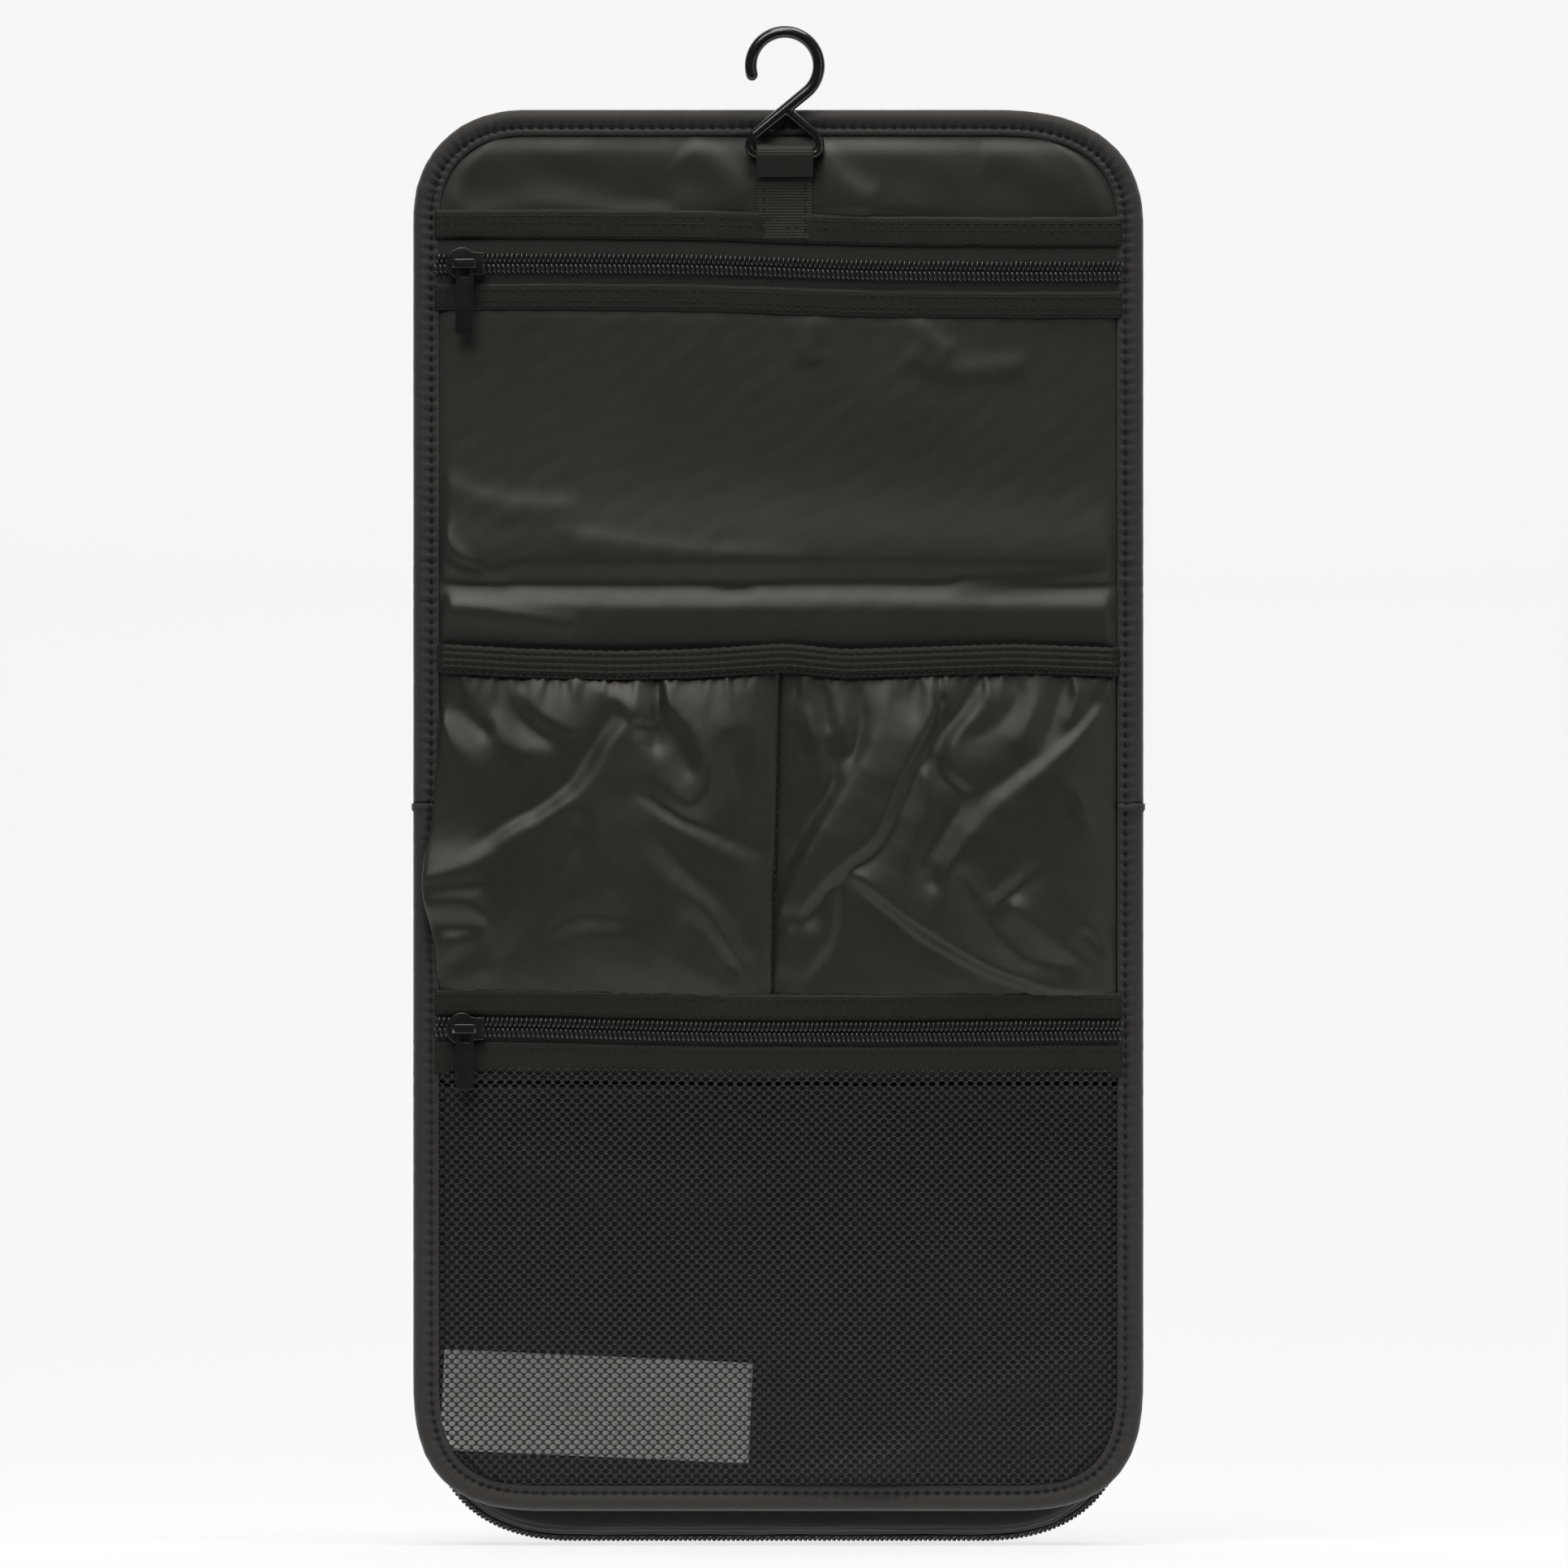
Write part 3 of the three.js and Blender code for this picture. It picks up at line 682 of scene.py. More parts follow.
def repeated(name, lines, pitch, unit, material, uneven=0.05):
    """A unit repeated along lines of (x, deep, z) points, as one mesh."""
    points, edges, start = [], [], 0
    for line in lines:
        line = np.asarray(line, float)
        points.append(line)
        edges += [(start + i, start + i + 1) for i in range(len(line) - 1)]
        start += len(line)
    place = (np.vstack(points) + (0, LINING_FRONT, 0)) * MM
    mesh = bpy.data.meshes.new(name)
    mesh.from_pydata(place.tolist(), edges, [])
    seam = bpy.data.objects.new(name + "_seam", mesh)
    bpy.context.scene.collection.objects.link(seam)
    values = {"Pitch": pitch, "Unevenness": uneven, "Seed": settings().net.seed, "Unit": unit,
              "Finish": material}
    return grown(name, seam, repeat_tree(), values)


def unit_object(name, points, faces):
    unit = to_object(name, points, faces, None)
    unit.hide_render = True
    return unit


def stitch_unit(length=2.3, width=0.5, depth=0.42):
    """One stitch of thread, lying along x and pulled in at both ends."""
    sides = 6
    rings = [(-0.5, 0.25, 0.55), (-0.3, 0.9, 0.1), (0.0, 1.0, 0.0), (0.3, 0.9, 0.1), (0.5, 0.25, 0.55)]
    angles = np.linspace(0, math.tau, sides, endpoint=False)
    points = [
        (share * length, math.sin(a) * depth / 2 * size + sink * depth, math.cos(a) * width / 2 * size)
        for share, size, sink in rings
        for a in angles
    ]
    return unit_object("stitch_unit", points, tube_faces(len(rings), sides, False))


def tooth_unit(side, sideways=False):
    """One turn of a zip's coil: a flattened loop of nylon that leans along the chain."""
    around, sides = 10, 5
    angles = np.linspace(0, math.tau, around, endpoint=False)
    radius = 0.33
    ring = np.stack(
        [
            0.30 * np.cos(angles) + 0.40 * np.sin(angles),
            -0.62 * np.cos(angles),
            (1.62 + 1.42 * np.sin(angles)) * side,
        ],
        1,
    )
    ahead = np.roll(ring, -1, 0) - np.roll(ring, 1, 0)
    ahead /= np.linalg.norm(ahead, axis=1)[:, None]
    out = ring - ring.mean(0)
    out -= (out * ahead).sum(1)[:, None] * ahead
    out /= np.linalg.norm(out, axis=1)[:, None]
    across = np.cross(ahead, out)
    turns = np.linspace(0, math.tau, sides, endpoint=False)
    points = [
        p + radius * (math.cos(t) * o + math.sin(t) * c)
        for p, o, c in zip(ring, out, across)
        for t in turns
    ]
    points = np.array(points)
    if sideways:
        points = points[:, [0, 2, 1]]
    return unit_object("tooth_unit", points, tube_faces(around, sides, True))


# ---- Shader groups and materials ---------------------------------------------


def shader_group(name, inputs, outputs):
    group = bpy.data.node_groups.new(name, "ShaderNodeTree")
    for label, kind, value in inputs:
        socket = group.interface.new_socket(label, in_out="INPUT", socket_type=kind)
        if value is not None:
            socket.default_value = value
    for label, kind in outputs:
        group.interface.new_socket(label, in_out="OUTPUT", socket_type=kind)
    return group, group.nodes.new("NodeGroupInput"), group.nodes.new("NodeGroupOutput")


def calc(group, operation, first, second=None, third=None):
    """A Math node fed by sockets or numbers; returns its output."""
    node = group.nodes.new("ShaderNodeMath")
    node.operation = operation
    for socket, value in zip(node.inputs, (first, second, third)):
        if isinstance(value, (int, float)):
            socket.default_value = value
        elif value is not None:
            group.links.new(value, socket)
    return node.outputs[0]


def weave_group():
    """Threads of a weave: ribs that run along one direction, crossed by finer threads. Its Rib output is
    painted shade in the rib valleys and painted highlight on the rib crests, with random yarn unevenness.
    """
    name = "woven threads"
    if name in bpy.data.node_groups:
        return bpy.data.node_groups[name]
    group, given, made = shader_group(
        name,
        [
            ("Vector", "NodeSocketVector", None),
            ("Rib Pitch", "NodeSocketFloat", 0.0006),
            ("Rib Angle", "NodeSocketFloat", 0.9),
            ("Thread Pitch", "NodeSocketFloat", 0.0003),
            ("Unevenness", "NodeSocketFloat", 0.25),
        ],
        [("Height", "NodeSocketFloat"), ("Rib", "NodeSocketFloat"), ("Slub", "NodeSocketFloat")],
    )
    link = group.links.new
    noise = group.nodes.new("ShaderNodeTexNoise")
    noise.inputs["Scale"].default_value = 900
    noise.inputs["Detail"].default_value = 2
    link(given.outputs["Vector"], noise.inputs["Vector"])
    apart = group.nodes.new("ShaderNodeSeparateXYZ")
    link(given.outputs["Vector"], apart.inputs["Vector"])
    x, z = apart.outputs["X"], apart.outputs["Z"]
    cos = calc(group, "COSINE", given.outputs["Rib Angle"])
    sin = calc(group, "SINE", given.outputs["Rib Angle"])
    across = calc(group, "SUBTRACT", calc(group, "MULTIPLY", x, sin), calc(group, "MULTIPLY", z, cos))
    along = calc(group, "ADD", calc(group, "MULTIPLY", x, cos), calc(group, "MULTIPLY", z, sin))
    wobble = calc(group, "MULTIPLY", calc(group, "SUBTRACT", noise.outputs["Fac"], 0.5),
                  given.outputs["Unevenness"])
    rib_turns = calc(group, "MULTIPLY", calc(group, "DIVIDE", across, given.outputs["Rib Pitch"]), math.tau)
    rib_wave = calc(group, "SINE", calc(group, "ADD", rib_turns, calc(group, "MULTIPLY", wobble, 4)))
    rib = calc(group, "MULTIPLY_ADD", rib_wave, 0.5, 0.5)
    thread_turns = calc(group, "MULTIPLY", calc(group, "DIVIDE", along, given.outputs["Thread Pitch"]),
                        math.tau)
    thread_wave = calc(group, "SINE",
                       calc(group, "ADD", thread_turns, calc(group, "MULTIPLY", rib_wave, 1.2)))
    thread = calc(group, "MULTIPLY_ADD", thread_wave, 0.5, 0.5)
    mixed = calc(group, "ADD", calc(group, "MULTIPLY", rib, 0.7), calc(group, "MULTIPLY", thread, 0.3))
    link(mixed, made.inputs["Height"])
    # Rib, for colour: the rib wave of the bump height, so painted shade in the valleys and painted
    # highlight on the crests, plus random yarn unevenness.
    link(calc(group, "ADD", rib, wobble), made.inputs["Rib"])
    link(noise.outputs["Fac"], made.inputs["Slub"])
    return group


def wear_group():
    """Soft patches and fine specks that make a plain colour uneven."""
    name = "handling and lint"
    if name in bpy.data.node_groups:
        return bpy.data.node_groups[name]
    group, given, made = shader_group(
        name,
        [
            ("Vector", "NodeSocketVector", None),
            ("Patch Scale", "NodeSocketFloat", 28.0),
            ("Speck Scale", "NodeSocketFloat", 1500.0),
        ],
        [("Patches", "NodeSocketFloat"), ("Specks", "NodeSocketFloat")],
    )
    link = group.links.new
    patches = group.nodes.new("ShaderNodeTexNoise")
    patches.inputs["Detail"].default_value = 3
    specks = group.nodes.new("ShaderNodeTexNoise")
    specks.inputs["Detail"].default_value = 1
    for texture, label in ((patches, "Patch Scale"), (specks, "Speck Scale")):
        link(given.outputs["Vector"], texture.inputs["Vector"])
        link(given.outputs[label], texture.inputs["Scale"])
    sharp = calc(group, "SMOOTH_MIN",
                 calc(group, "MAXIMUM", calc(group, "SUBTRACT", specks.outputs["Fac"], 0.66), 0), 0.2, 0.02)
    link(patches.outputs["Fac"], made.inputs["Patches"])
    link(calc(group, "MULTIPLY", sharp, 5), made.inputs["Specks"])
    return group


class Finish:
    """A material under construction: its Principled shader and the nodes that feed it."""

    def __init__(self, name, colour, roughness, sheen=0.0, specular=0.5, **constants):
        self.material = bpy.data.materials.new(name)
        self.material.use_nodes = True
        self.tree = self.material.node_tree
        self.shader = self.tree.nodes["Principled BSDF"]
        self.colour = colour
        self.roughness = roughness
        self.set("Base Color", colour)
        self.set("Roughness", roughness)
        self.set("Specular IOR Level", specular)
        self.set("Sheen Weight", sheen)
        for key, value in constants.items():
            self.set(key.replace("_", " "), value)
        self.place = self.tree.nodes.new("ShaderNodeTexCoord").outputs["Object"]

    def set(self, label, value):
        self.shader.inputs[label].default_value = value

    def group(self, made, **values):
        node = self.tree.nodes.new("ShaderNodeGroup")
        node.node_tree = made
        self.tree.links.new(self.place, node.inputs["Vector"])
        for key, value in values.items():
            node.inputs[key.replace("_", " ")].default_value = value
        return node

    def shaded(self, mask, dark, light):
        """Feeds the base colour with the plain colour times a factor from dark to light."""
        ramp = self.tree.nodes.new("ShaderNodeMix")
        ramp.data_type = "RGBA"
        self.tree.links.new(mask, ramp.inputs[0])
        for socket, factor in ((ramp.inputs[6], dark), (ramp.inputs[7], light)):
            socket.default_value = (*[c * factor for c in self.colour[:3]], 1)
        self.tree.links.new(ramp.outputs[2], self.shader.inputs["Base Color"])

    def rougher(self, mask, low, high):
        spread = self.tree.nodes.new("ShaderNodeMapRange")
        self.tree.links.new(mask, spread.inputs["Value"])
        spread.inputs["To Min"].default_value = low
        spread.inputs["To Max"].default_value = high
        self.tree.links.new(spread.outputs["Result"], self.shader.inputs["Roughness"])

    def bumped(self, *heights):
        """Bump from one or more (socket, strength, distance in metres)."""
        normal = None
        for socket, strength, distance in heights:
            node = self.tree.nodes.new("ShaderNodeBump")
            node.inputs["Strength"].default_value = strength
            node.inputs["Distance"].default_value = distance
            self.tree.links.new(socket, node.inputs["Height"])
            if normal is not None:
                self.tree.links.new(normal, node.inputs["Normal"])
            normal = node.outputs["Normal"]
        self.tree.links.new(normal, self.shader.inputs["Normal"])


def woven(name, colour, roughness, pitch, angle, thread, bump_depth, sheen=0.0, dark=0.6, light=1.25,
          **constants):
    """A woven cloth: ribs and threads in its colour, roughness and bump, with uneven patches. In the colour
    the ribs are painted shade in their valleys and painted highlight on their crests.
    """
    finish = Finish(name, colour, roughness, sheen=sheen, **constants)
    finish.set("Specular Tint", (1.0, 0.955, 0.88, 1))
    weave = finish.group(weave_group(), Rib_Pitch=pitch, Rib_Angle=angle, Thread_Pitch=thread)
    wear = finish.group(wear_group())
    # Colour mask: painted rib shade and highlight, mixed with random patches; lint specks are added below.
    rib_shade_and_patches = calc(finish.tree, "ADD", calc(finish.tree, "MULTIPLY", weave.outputs["Rib"], 0.65),
                calc(finish.tree, "MULTIPLY", wear.outputs["Patches"], 0.35))
    finish.shaded(calc(finish.tree, "ADD", rib_shade_and_patches, wear.outputs["Specks"]), dark, light)
    finish.rougher(wear.outputs["Patches"], roughness - 0.06, roughness + 0.08)
    finish.bumped((weave.outputs["Height"], 0.8, bump_depth))
    return finish.material


def finish_named(name):
    """The bag's finishes, each made when it is first asked for."""
    if name in bpy.data.materials:
        return bpy.data.materials[name]
    bag = settings()
    lining, cover = tuple(bag.cloth.lining_colour), tuple(bag.cloth.cover_colour)
    tape, pitch = tuple(bag.zips.tape_colour), bag.cloth.twill_pitch
    if name == "satin twill lining":
        return woven(name, lining, 0.46, pitch, math.radians(38), pitch * 0.5, 0.00007, sheen=0.04,
                     dark=0.66, light=1.4, specular=0.62)
    if name == "glossy pocket satin":
        return woven(name, lining, 0.43, pitch, math.radians(38), pitch * 0.5, 0.00006, sheen=0.03,
                     dark=0.66, light=1.4, specular=0.62)
    if name == "nylon cover cloth":
        return woven(name, cover, 0.72, 0.0007, 0.0, 0.0007, 0.00008, sheen=0.03, specular=0.3)
    if name == "foam sheet":
        return woven(name, (0.05, 0.05, 0.048, 1), 0.9, 0.0016, 0.6, 0.0011, 0.0002, dark=0.85, light=1.1)
    if name == "soft binding cloth":
        return woven(name, tuple(bag.binding.colour), 0.74, 0.0005, math.radians(90), 0.0005, 0.00003,
                     sheen=0.22,
                     dark=0.88, light=1.12, Sheen_Roughness=0.5)
    if name == "grosgrain tape":
        return woven(name, tape, 0.62, 0.00062, math.radians(90), 0.0009, 0.00014, sheen=0.02, dark=0.3,
                     light=2.1, specular=0.35)
    if name == "herringbone zip tape":
        return woven(name, tape, 0.6, 0.0008, math.radians(55), 0.0004, 0.00010, sheen=0.04, dark=0.5,
                     light=1.7)
    if name == "ribbed elastic":
        return woven(name, tuple(c * 1.25 for c in tape[:3]) + (1,), 0.7, 0.0008, math.radians(90),
                     0.0005, 0.0001,
                     sheen=0.02, dark=0.4, light=1.7, specular=0.35)
    if name == "hook webbing":
        return woven(name, tuple(c * 1.15 for c in tape[:3]) + (1,), 0.66, 0.0009, 0.0, 0.0008, 0.0002,
                     dark=0.45, light=1.8)
    if name == "sewing thread":
        return woven(name, (0.005, 0.0048, 0.0042, 1), 0.6, 0.0005, math.radians(60), 0.0003, 0.00004,
                     dark=0.7, light=1.4)
    if name == "nylon coil":
        finish = Finish(name, (0.020, 0.0195, 0.018, 1), 0.22, specular=0.9)
        wear = finish.group(wear_group(), Speck_Scale=2500.0)
        finish.shaded(wear.outputs["Patches"], 0.7, 1.3)
        finish.rougher(wear.outputs["Patches"], 0.16, 0.3)
        finish.bumped((wear.outputs["Specks"], 0.2, 0.00003))
        return finish.material
    if name == "black painted metal":
        finish = Finish(name, tuple(bag.zips.metal_colour), 0.16, specular=0.8, Coat_Weight=1.0,
                        Coat_Roughness=0.05)
        wear = finish.group(wear_group(), Patch_Scale=300.0, Speck_Scale=3200.0)
        finish.shaded(wear.outputs["Patches"], 0.8, 1.3)
        finish.rougher(wear.outputs["Patches"], 0.14, 0.32)
        finish.bumped((wear.outputs["Patches"], 0.12, 0.00008), (wear.outputs["Specks"], 0.2, 0.00002))
        return finish.material
    if name == "glossy hook plastic":
        finish = Finish(name, (0.010, 0.0095, 0.0085, 1), 0.16, specular=0.6, Coat_Weight=0.35,
                        Coat_Roughness=0.06)
        wear = finish.group(wear_group(), Patch_Scale=160.0, Speck_Scale=2600.0)
        finish.shaded(wear.outputs["Patches"], 0.8, 1.35)
        finish.rougher(wear.outputs["Patches"], 0.12, 0.26)
        finish.bumped((wear.outputs["Patches"], 0.15, 0.00015), (wear.outputs["Specks"], 0.15, 0.00002))
        return finish.material
    if name == "knitted net":
        finish = Finish(name, (0.0185, 0.0175, 0.0142, 1), 0.5, specular=0.5)
        weave = finish.group(weave_group(), Rib_Pitch=0.00045, Rib_Angle=0.5, Thread_Pitch=0.0003)
        wear = finish.group(wear_group())
        # The strands' colour follows the weave's rib relief: painted shade in its valleys and painted
        # highlight on its crests.
        finish.shaded(weave.outputs["Rib"], 0.8, 1.3)
        finish.rougher(wear.outputs["Patches"], 0.45, 0.65)
        finish.bumped((weave.outputs["Height"], 0.8, 0.00008))
        return finish.material
    if name == "white label satin":
        finish = Finish(name, (0.86, 0.85, 0.81, 1), 0.6)
        weave = finish.group(weave_group(), Rib_Pitch=0.0004, Rib_Angle=1.57, Thread_Pitch=0.0004)
        wear = finish.group(wear_group(), Patch_Scale=90.0)
        # Painted rib shade and highlight, times random patches of real unevenness.
        rib_shade_and_patches = calc(finish.tree, "MULTIPLY", weave.outputs["Rib"], wear.outputs["Patches"])
        finish.shaded(rib_shade_and_patches, 0.82, 1.12)
        finish.rougher(wear.outputs["Patches"], 0.5, 0.7)
        finish.bumped((weave.outputs["Height"], 0.5, 0.00004))
        return finish.material
    raise ValueError(f"there is no finish named {name}")


# ---- Cloth panels ------------------------------------------------------------


def panel_grid(top, bottom, inset, step):
    """x and z of a cloth panel inside the bag's outline, in rows from the top."""
    rows = max(6, int(round((top - bottom) / step)))
    share = np.linspace(0, 1, rows + 1)
    z = top + (bottom - top) * share
    for end, edge in ((1, TOP - inset), (-1, BOTTOM + inset)):
        if abs((top if end > 0 else bottom) - edge) < 1e-6:
            reach = 10.0
            close = np.abs(z - edge) < reach
            z = np.where(close, edge - end * reach * (np.abs(z - edge) / reach) ** 1.6, z)
    left = MIDDLE - half_width(z, -1, inset)
    right = MIDDLE + half_width(z, 1, inset)
    cols = int(round(2 * (HALF - inset) / step))
    across = np.linspace(0, 1, cols + 1)[None, :]
    x = left[:, None] * (1 - across) + right[:, None] * across
    return x, np.repeat(z[:, None], cols + 1, 1)


def edge_distance(x, z, inset):
    """How far each point lies inside the outline moved in by `inset`, roughly."""
    left = x - (MIDDLE - half_width(z, -1, inset))
    right = (MIDDLE + half_width(z, 1, inset)) - x
    return np.maximum(np.minimum(np.minimum(left, right),
                                 np.minimum(TOP - inset - z, z - BOTTOM - inset)), 0)


def seam_puckers(along, away, seed, pitch=5.5, reach=6.0, height=0.35):
    """Small gathers square to a seam, dying away from it."""
    phase = waves(along, 0 * along, seed, pitch * 3) * 3.0
    return height * (0.5 + 0.5 * np.sin(along * math.tau / pitch + phase)) * np.exp(-away / reach)


def tucked(x, z, inset, lift, edge_deep, free_deep, rim=3.0):
    """Depth of a cloth that dives under the binding at its sides and stands `lift` high inside."""
    rise = smooth(edge_distance(x, z, inset) / rim)
    return edge_deep + (free_deep - edge_deep - lift) * rise


def cloth(name, x, z, deep, thickness, material):
    return shell(name, np.stack([x, deep + LINING_FRONT, z], -1), thickness, material)


def step_of(scale=1.0):
    return settings().cloth.cloth_step / MM * scale


def thick():
    return settings().cloth.thickness / MM


def blend_upper(piece):
    """Bakes the placement of a cloth at the upper fold into its mesh."""
    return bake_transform(piece)


def blend_lower(piece):
    """Bakes the placement of a cloth at the lower fold into its mesh."""
    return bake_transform(piece)


def top_chain_line(x):
    """Height of the top zip's chain, which drops a little at the middle."""
    return TOP_CHAIN + 1.15 - 2.3 * smooth((x - MIDDLE + 38) / 80) + 0.12 * np.sin(x / 17.0)


def lower_chain_line(x):
    """Height of the net pocket's chain, which sags from its slider towards the middle."""
    return LOWER_CHAIN + 0.5 - 1.6 * smooth((x - MIDDLE + 98) / 90) + 0.4 * smooth((x - MIDDLE - 30) / 70)


def header_lift(x, z):
    """Relief of the header above the top zip."""
    u = x - MIDDLE
    above_trim = z - top_chain_line(x) - 15.0
    lift = 1.3 + 1.5 * waves(u, z * 0.8, 11, 52) + 0.3 * waves(u, z, 12, 17)
    lift += seam_puckers(u, np.maximum(TOP - 8 - z, 0), 14, 9.0, 4.0, 0.3)
    lift += fold(u, z, [(-27, -31), (-17, -40), (-8, -49)], 1.2, 4.5, 8)
    lift += fold(u, z, [(12, -33), (19, -44), (30, -51)], 1.2, 4, 8)
    lift += fold(u, z, [(62, -34), (84, -43), (104, -50)], 0.8, 8)
    lift -= fold(u, z, [(-100, -52), (-70, -46), (-30, -55)], 1.0, 9)
    under = smooth(above_trim / 5.0) * smooth((np.abs(x) - 8.0) / 5.0)
    return 0.8 * (1 - under) + np.maximum(lift, 0.2) * under


def pocket_front_lift(x, z):
    """Relief of the top pocket's front: a soft belly, and the slack that gathers over the fold."""
    u = x - MIDDLE
    below_trim = top_chain_line(x) - 14.0
    lift = 0.9 + 0.55 * waves(u * 0.7, z, 21, 60) + 0.10 * waves(u, z, 22, 11)
    lift += seam_puckers(u, np.maximum(below_trim - z, 0), 23, 12.0, 6.0, 0.35)
    lift += fold(u, z, [(44, -84), (46, -92), (54, -97)], 0.8, 3, 5)
    lift += fold(u, z, [(12, -84), (9, -94), (11, -101)], 0.5, 4)
    # Slack above the fold, the pinch along it and the roll below it.
    wander = 1.2 * waves(u, 0 * u, 24, 70)
    crest = UPPER_FOLD + 7.5 + wander
    lift += 2.2 * np.exp(-(((z - crest) / np.where(z > crest, 15.0, 4.6)) ** 2))
    roll = UPPER_FOLD - 8.2 + 0.6 * wander
    lift += 2.35 * np.exp(-(((z - roll) / np.where(z > roll, 4.4, 8.5)) ** 2))
    lift -= 0.8 * bump(z, UPPER_FOLD - 0.6 + 0.5 * wander, 2.4)
    near_roll = bump(z, roll + 2, 5.0)
    lift += near_roll * 0.22 * waves(u * 0.35, z * 2.2, 25, 5)
    # Tucks that run in from the left binding and the pinch at the middle.
    lift += fold(u, z, [(-105, -150), (-100, -157), (-94, -163), (-82, -164)], 1.1, 2.2, 4.5)
    lift -= fold(u, z, [(-105, -155), (-99, -161), (-90, -164)], 0.9, 1.4)
    lift += fold(u, z, [(-104, -174), (-90, -176), (-60, -181)], 0.9, 2.5, 5)
    lift -= fold(u, z, [(-22, -167.5), (-13.5, -169.8), (-6, -168)], 1.3, 1.6)
    lift += fold(u, z, [(-70, -152), (-30, -158), (10, -160)], 0.5, 3, 6)
    lift += fold(u, z, [(52, -168.5), (80, -167), (104, -163.5)], 1.0, 1.8, 3)
    lift += fold(u, z, [(38, -96), (52, -102), (78, -101)], 0.55, 4)
    lift += fold(u, z, [(-104, -136), (-88, -143), (-60, -145)], 0.6, 3.5, 6)
    under = smooth((below_trim + 2.0 - z) / 6.0)
    return 0.8 * (1 - under) + np.maximum(lift, 0.15) * under


class TOILETRYBAG_OT_top_cloths(bpy.types.Operator):
    """Makes the header above the top zip and the front of the top pocket"""

    bl_idname = "toiletrybag.top_cloths"
    bl_label = "Top pocket cloths"

    def execute(self, context):
        material = finish_named("satin twill lining")
        inset = 6.9
        x, z = panel_grid(TOP - inset, TOP_CHAIN + 9.0, inset, step_of())
        deep = tucked(x, z, inset, header_lift(x, z), -0.05, -0.25, 7.0)
        header = cloth("top_pocket_header_cloth", x, z, deep, thick(), material)
        settle(header, "top_panel", "lining", "top_pocket_header")

        foot = ELASTIC_HIGH[2] - 3.0
        x, z = panel_grid(TOP_CHAIN - 9.0, foot, inset, step_of())
        lift = pocket_front_lift(x, z) * smooth((z - foot) / 5.0 + 0.12)
        deep = tucked(x, z, inset, lift, -0.05, -0.25, 5.0)
        front = cloth("top_pocket_front_cloth", x, z, deep, thick(), material)
        blend_upper(front)
        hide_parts("top_pocket_front")
        return {"FINISHED"}


class TOILETRYBAG_OT_inner_layers(bpy.types.Operator):
    """Makes the plain linings and the foam that lie inside the three panels"""

    bl_idname = "toiletrybag.inner_layers"
    bl_label = "Linings and padding"

    def execute(self, context):
        inset = 3.0
        upper, lower, gap, crease = UPPER_FOLD, LOWER_FOLD, 0.7, 12.0
        panels = (
            ("top", "top_panel", TOP - inset, upper + gap),
            ("middle", "middle_panel", upper - gap, lower + gap),
            ("bottom", "bag_body", lower - gap, BOTTOM + inset),
        )
        for label, body, top, bottom in panels:
            x, z = panel_grid(top, bottom, inset, 2.5)
            relief = 0.12 * waves(x, z, 31, 30)
            lining = cloth(f"{label}_lining_cloth", x, z, 0.12 + relief, 0.3,
                           finish_named("satin twill lining"))
            settle(lining, body, "lining", f"{label}_lining")
            # The foam ends short of each fold, so that the cloth alone bends there.
            foam_top = top if label == "top" else top - crease
            foam_bottom = bottom if label == "bottom" else bottom + crease
            x, z = panel_grid(foam_top, foam_bottom, inset + 0.6, 3.0)
            rise = smooth(edge_distance(x, z, inset + 0.6) / 5)
            foam_depth = 0.8 + 1.1 * (0.35 + 0.65 * rise)
            grid = np.stack([x, LINING_FRONT + 1.75 - foam_depth / 2, z], -1)
            foam = shell(f"{label}_foam", grid, 1.6, finish_named("foam sheet"))
            settle(foam, body, "foam", f"{label}_padding")
        return {"FINISHED"}


class TOILETRYBAG_OT_outer_cover(bpy.types.Operator):
    """Makes the nylon cover on the back of the panels"""

    bl_idname = "toiletrybag.outer_cover"
    bl_label = "Outer cover"

    def execute(self, context):
        material = finish_named("nylon cover cloth")
        inset = 6.7
        join = UPPER_FOLD - 77.0
        for name, top, bottom, blend, stands_for in (
            ("upper_cover_cloth", TOP - inset, join, blend_upper, ("top_cover", "middle_cover")),
            ("lower_cover_cloth", join - 0.4, BOTTOM + inset, blend_lower, ("compartment_front_wall",)),
        ):
            x, z = panel_grid(top, bottom, inset, step_of(1.4))
            swell = 0.35 * smooth(edge_distance(x, z, inset) / 16) + 0.25 * waves(x, z, 41, 55)
            for fold_z in (UPPER_FOLD, LOWER_FOLD):
                swell -= 0.7 * bump(z, fold_z, 2.2)
                swell += 0.25 * bump(z, fold_z, 9.0) * waves(x * 0.4, z, 42, 9)
            swell += seam_puckers(z, edge_distance(x, z, inset), 43, 6.0, 5.0, 0.25)
            grid = np.stack([x, LINING_FRONT + COVER_DEEP + 0.25 + swell, z], -1)
            cover = shell(name, grid, 0.5, material)
            blend(cover)
            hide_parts(*stands_for)
        return {"FINISHED"}


# ---- Binding -----------------------------------------------------------------


BINDING_SECTION = [
    (7.75, -0.35), (7.9, -0.85), (7.5, -1.3), (6.8, -1.45), (6.1, -1.1), (5.6, -0.45), (5.2, -0.75),
    (4.5, -1.35), (3.6, -1.75), (2.6, -1.85), (1.6, -1.6), (0.8, -1.0), (0.3, -0.2), (0.05, 0.8),
    (0.0, 2.05), (0.05, 3.3), (0.3, 4.4), (0.8, 5.2), (1.6, 5.7), (2.6, 5.9), (3.6, 5.8), (4.5, 5.5),
    (5.2, 5.1), (5.6, 4.85), (6.05, 5.1), (6.7, 5.3), (7.45, 5.2), (7.85, 4.9), (7.75, 4.5),
    (5.0, 4.35), (2.2, 4.1), (1.9, 2.05), (2.2, 0.0), (5.0, -0.3),
]
STITCH_INSET = 5.6


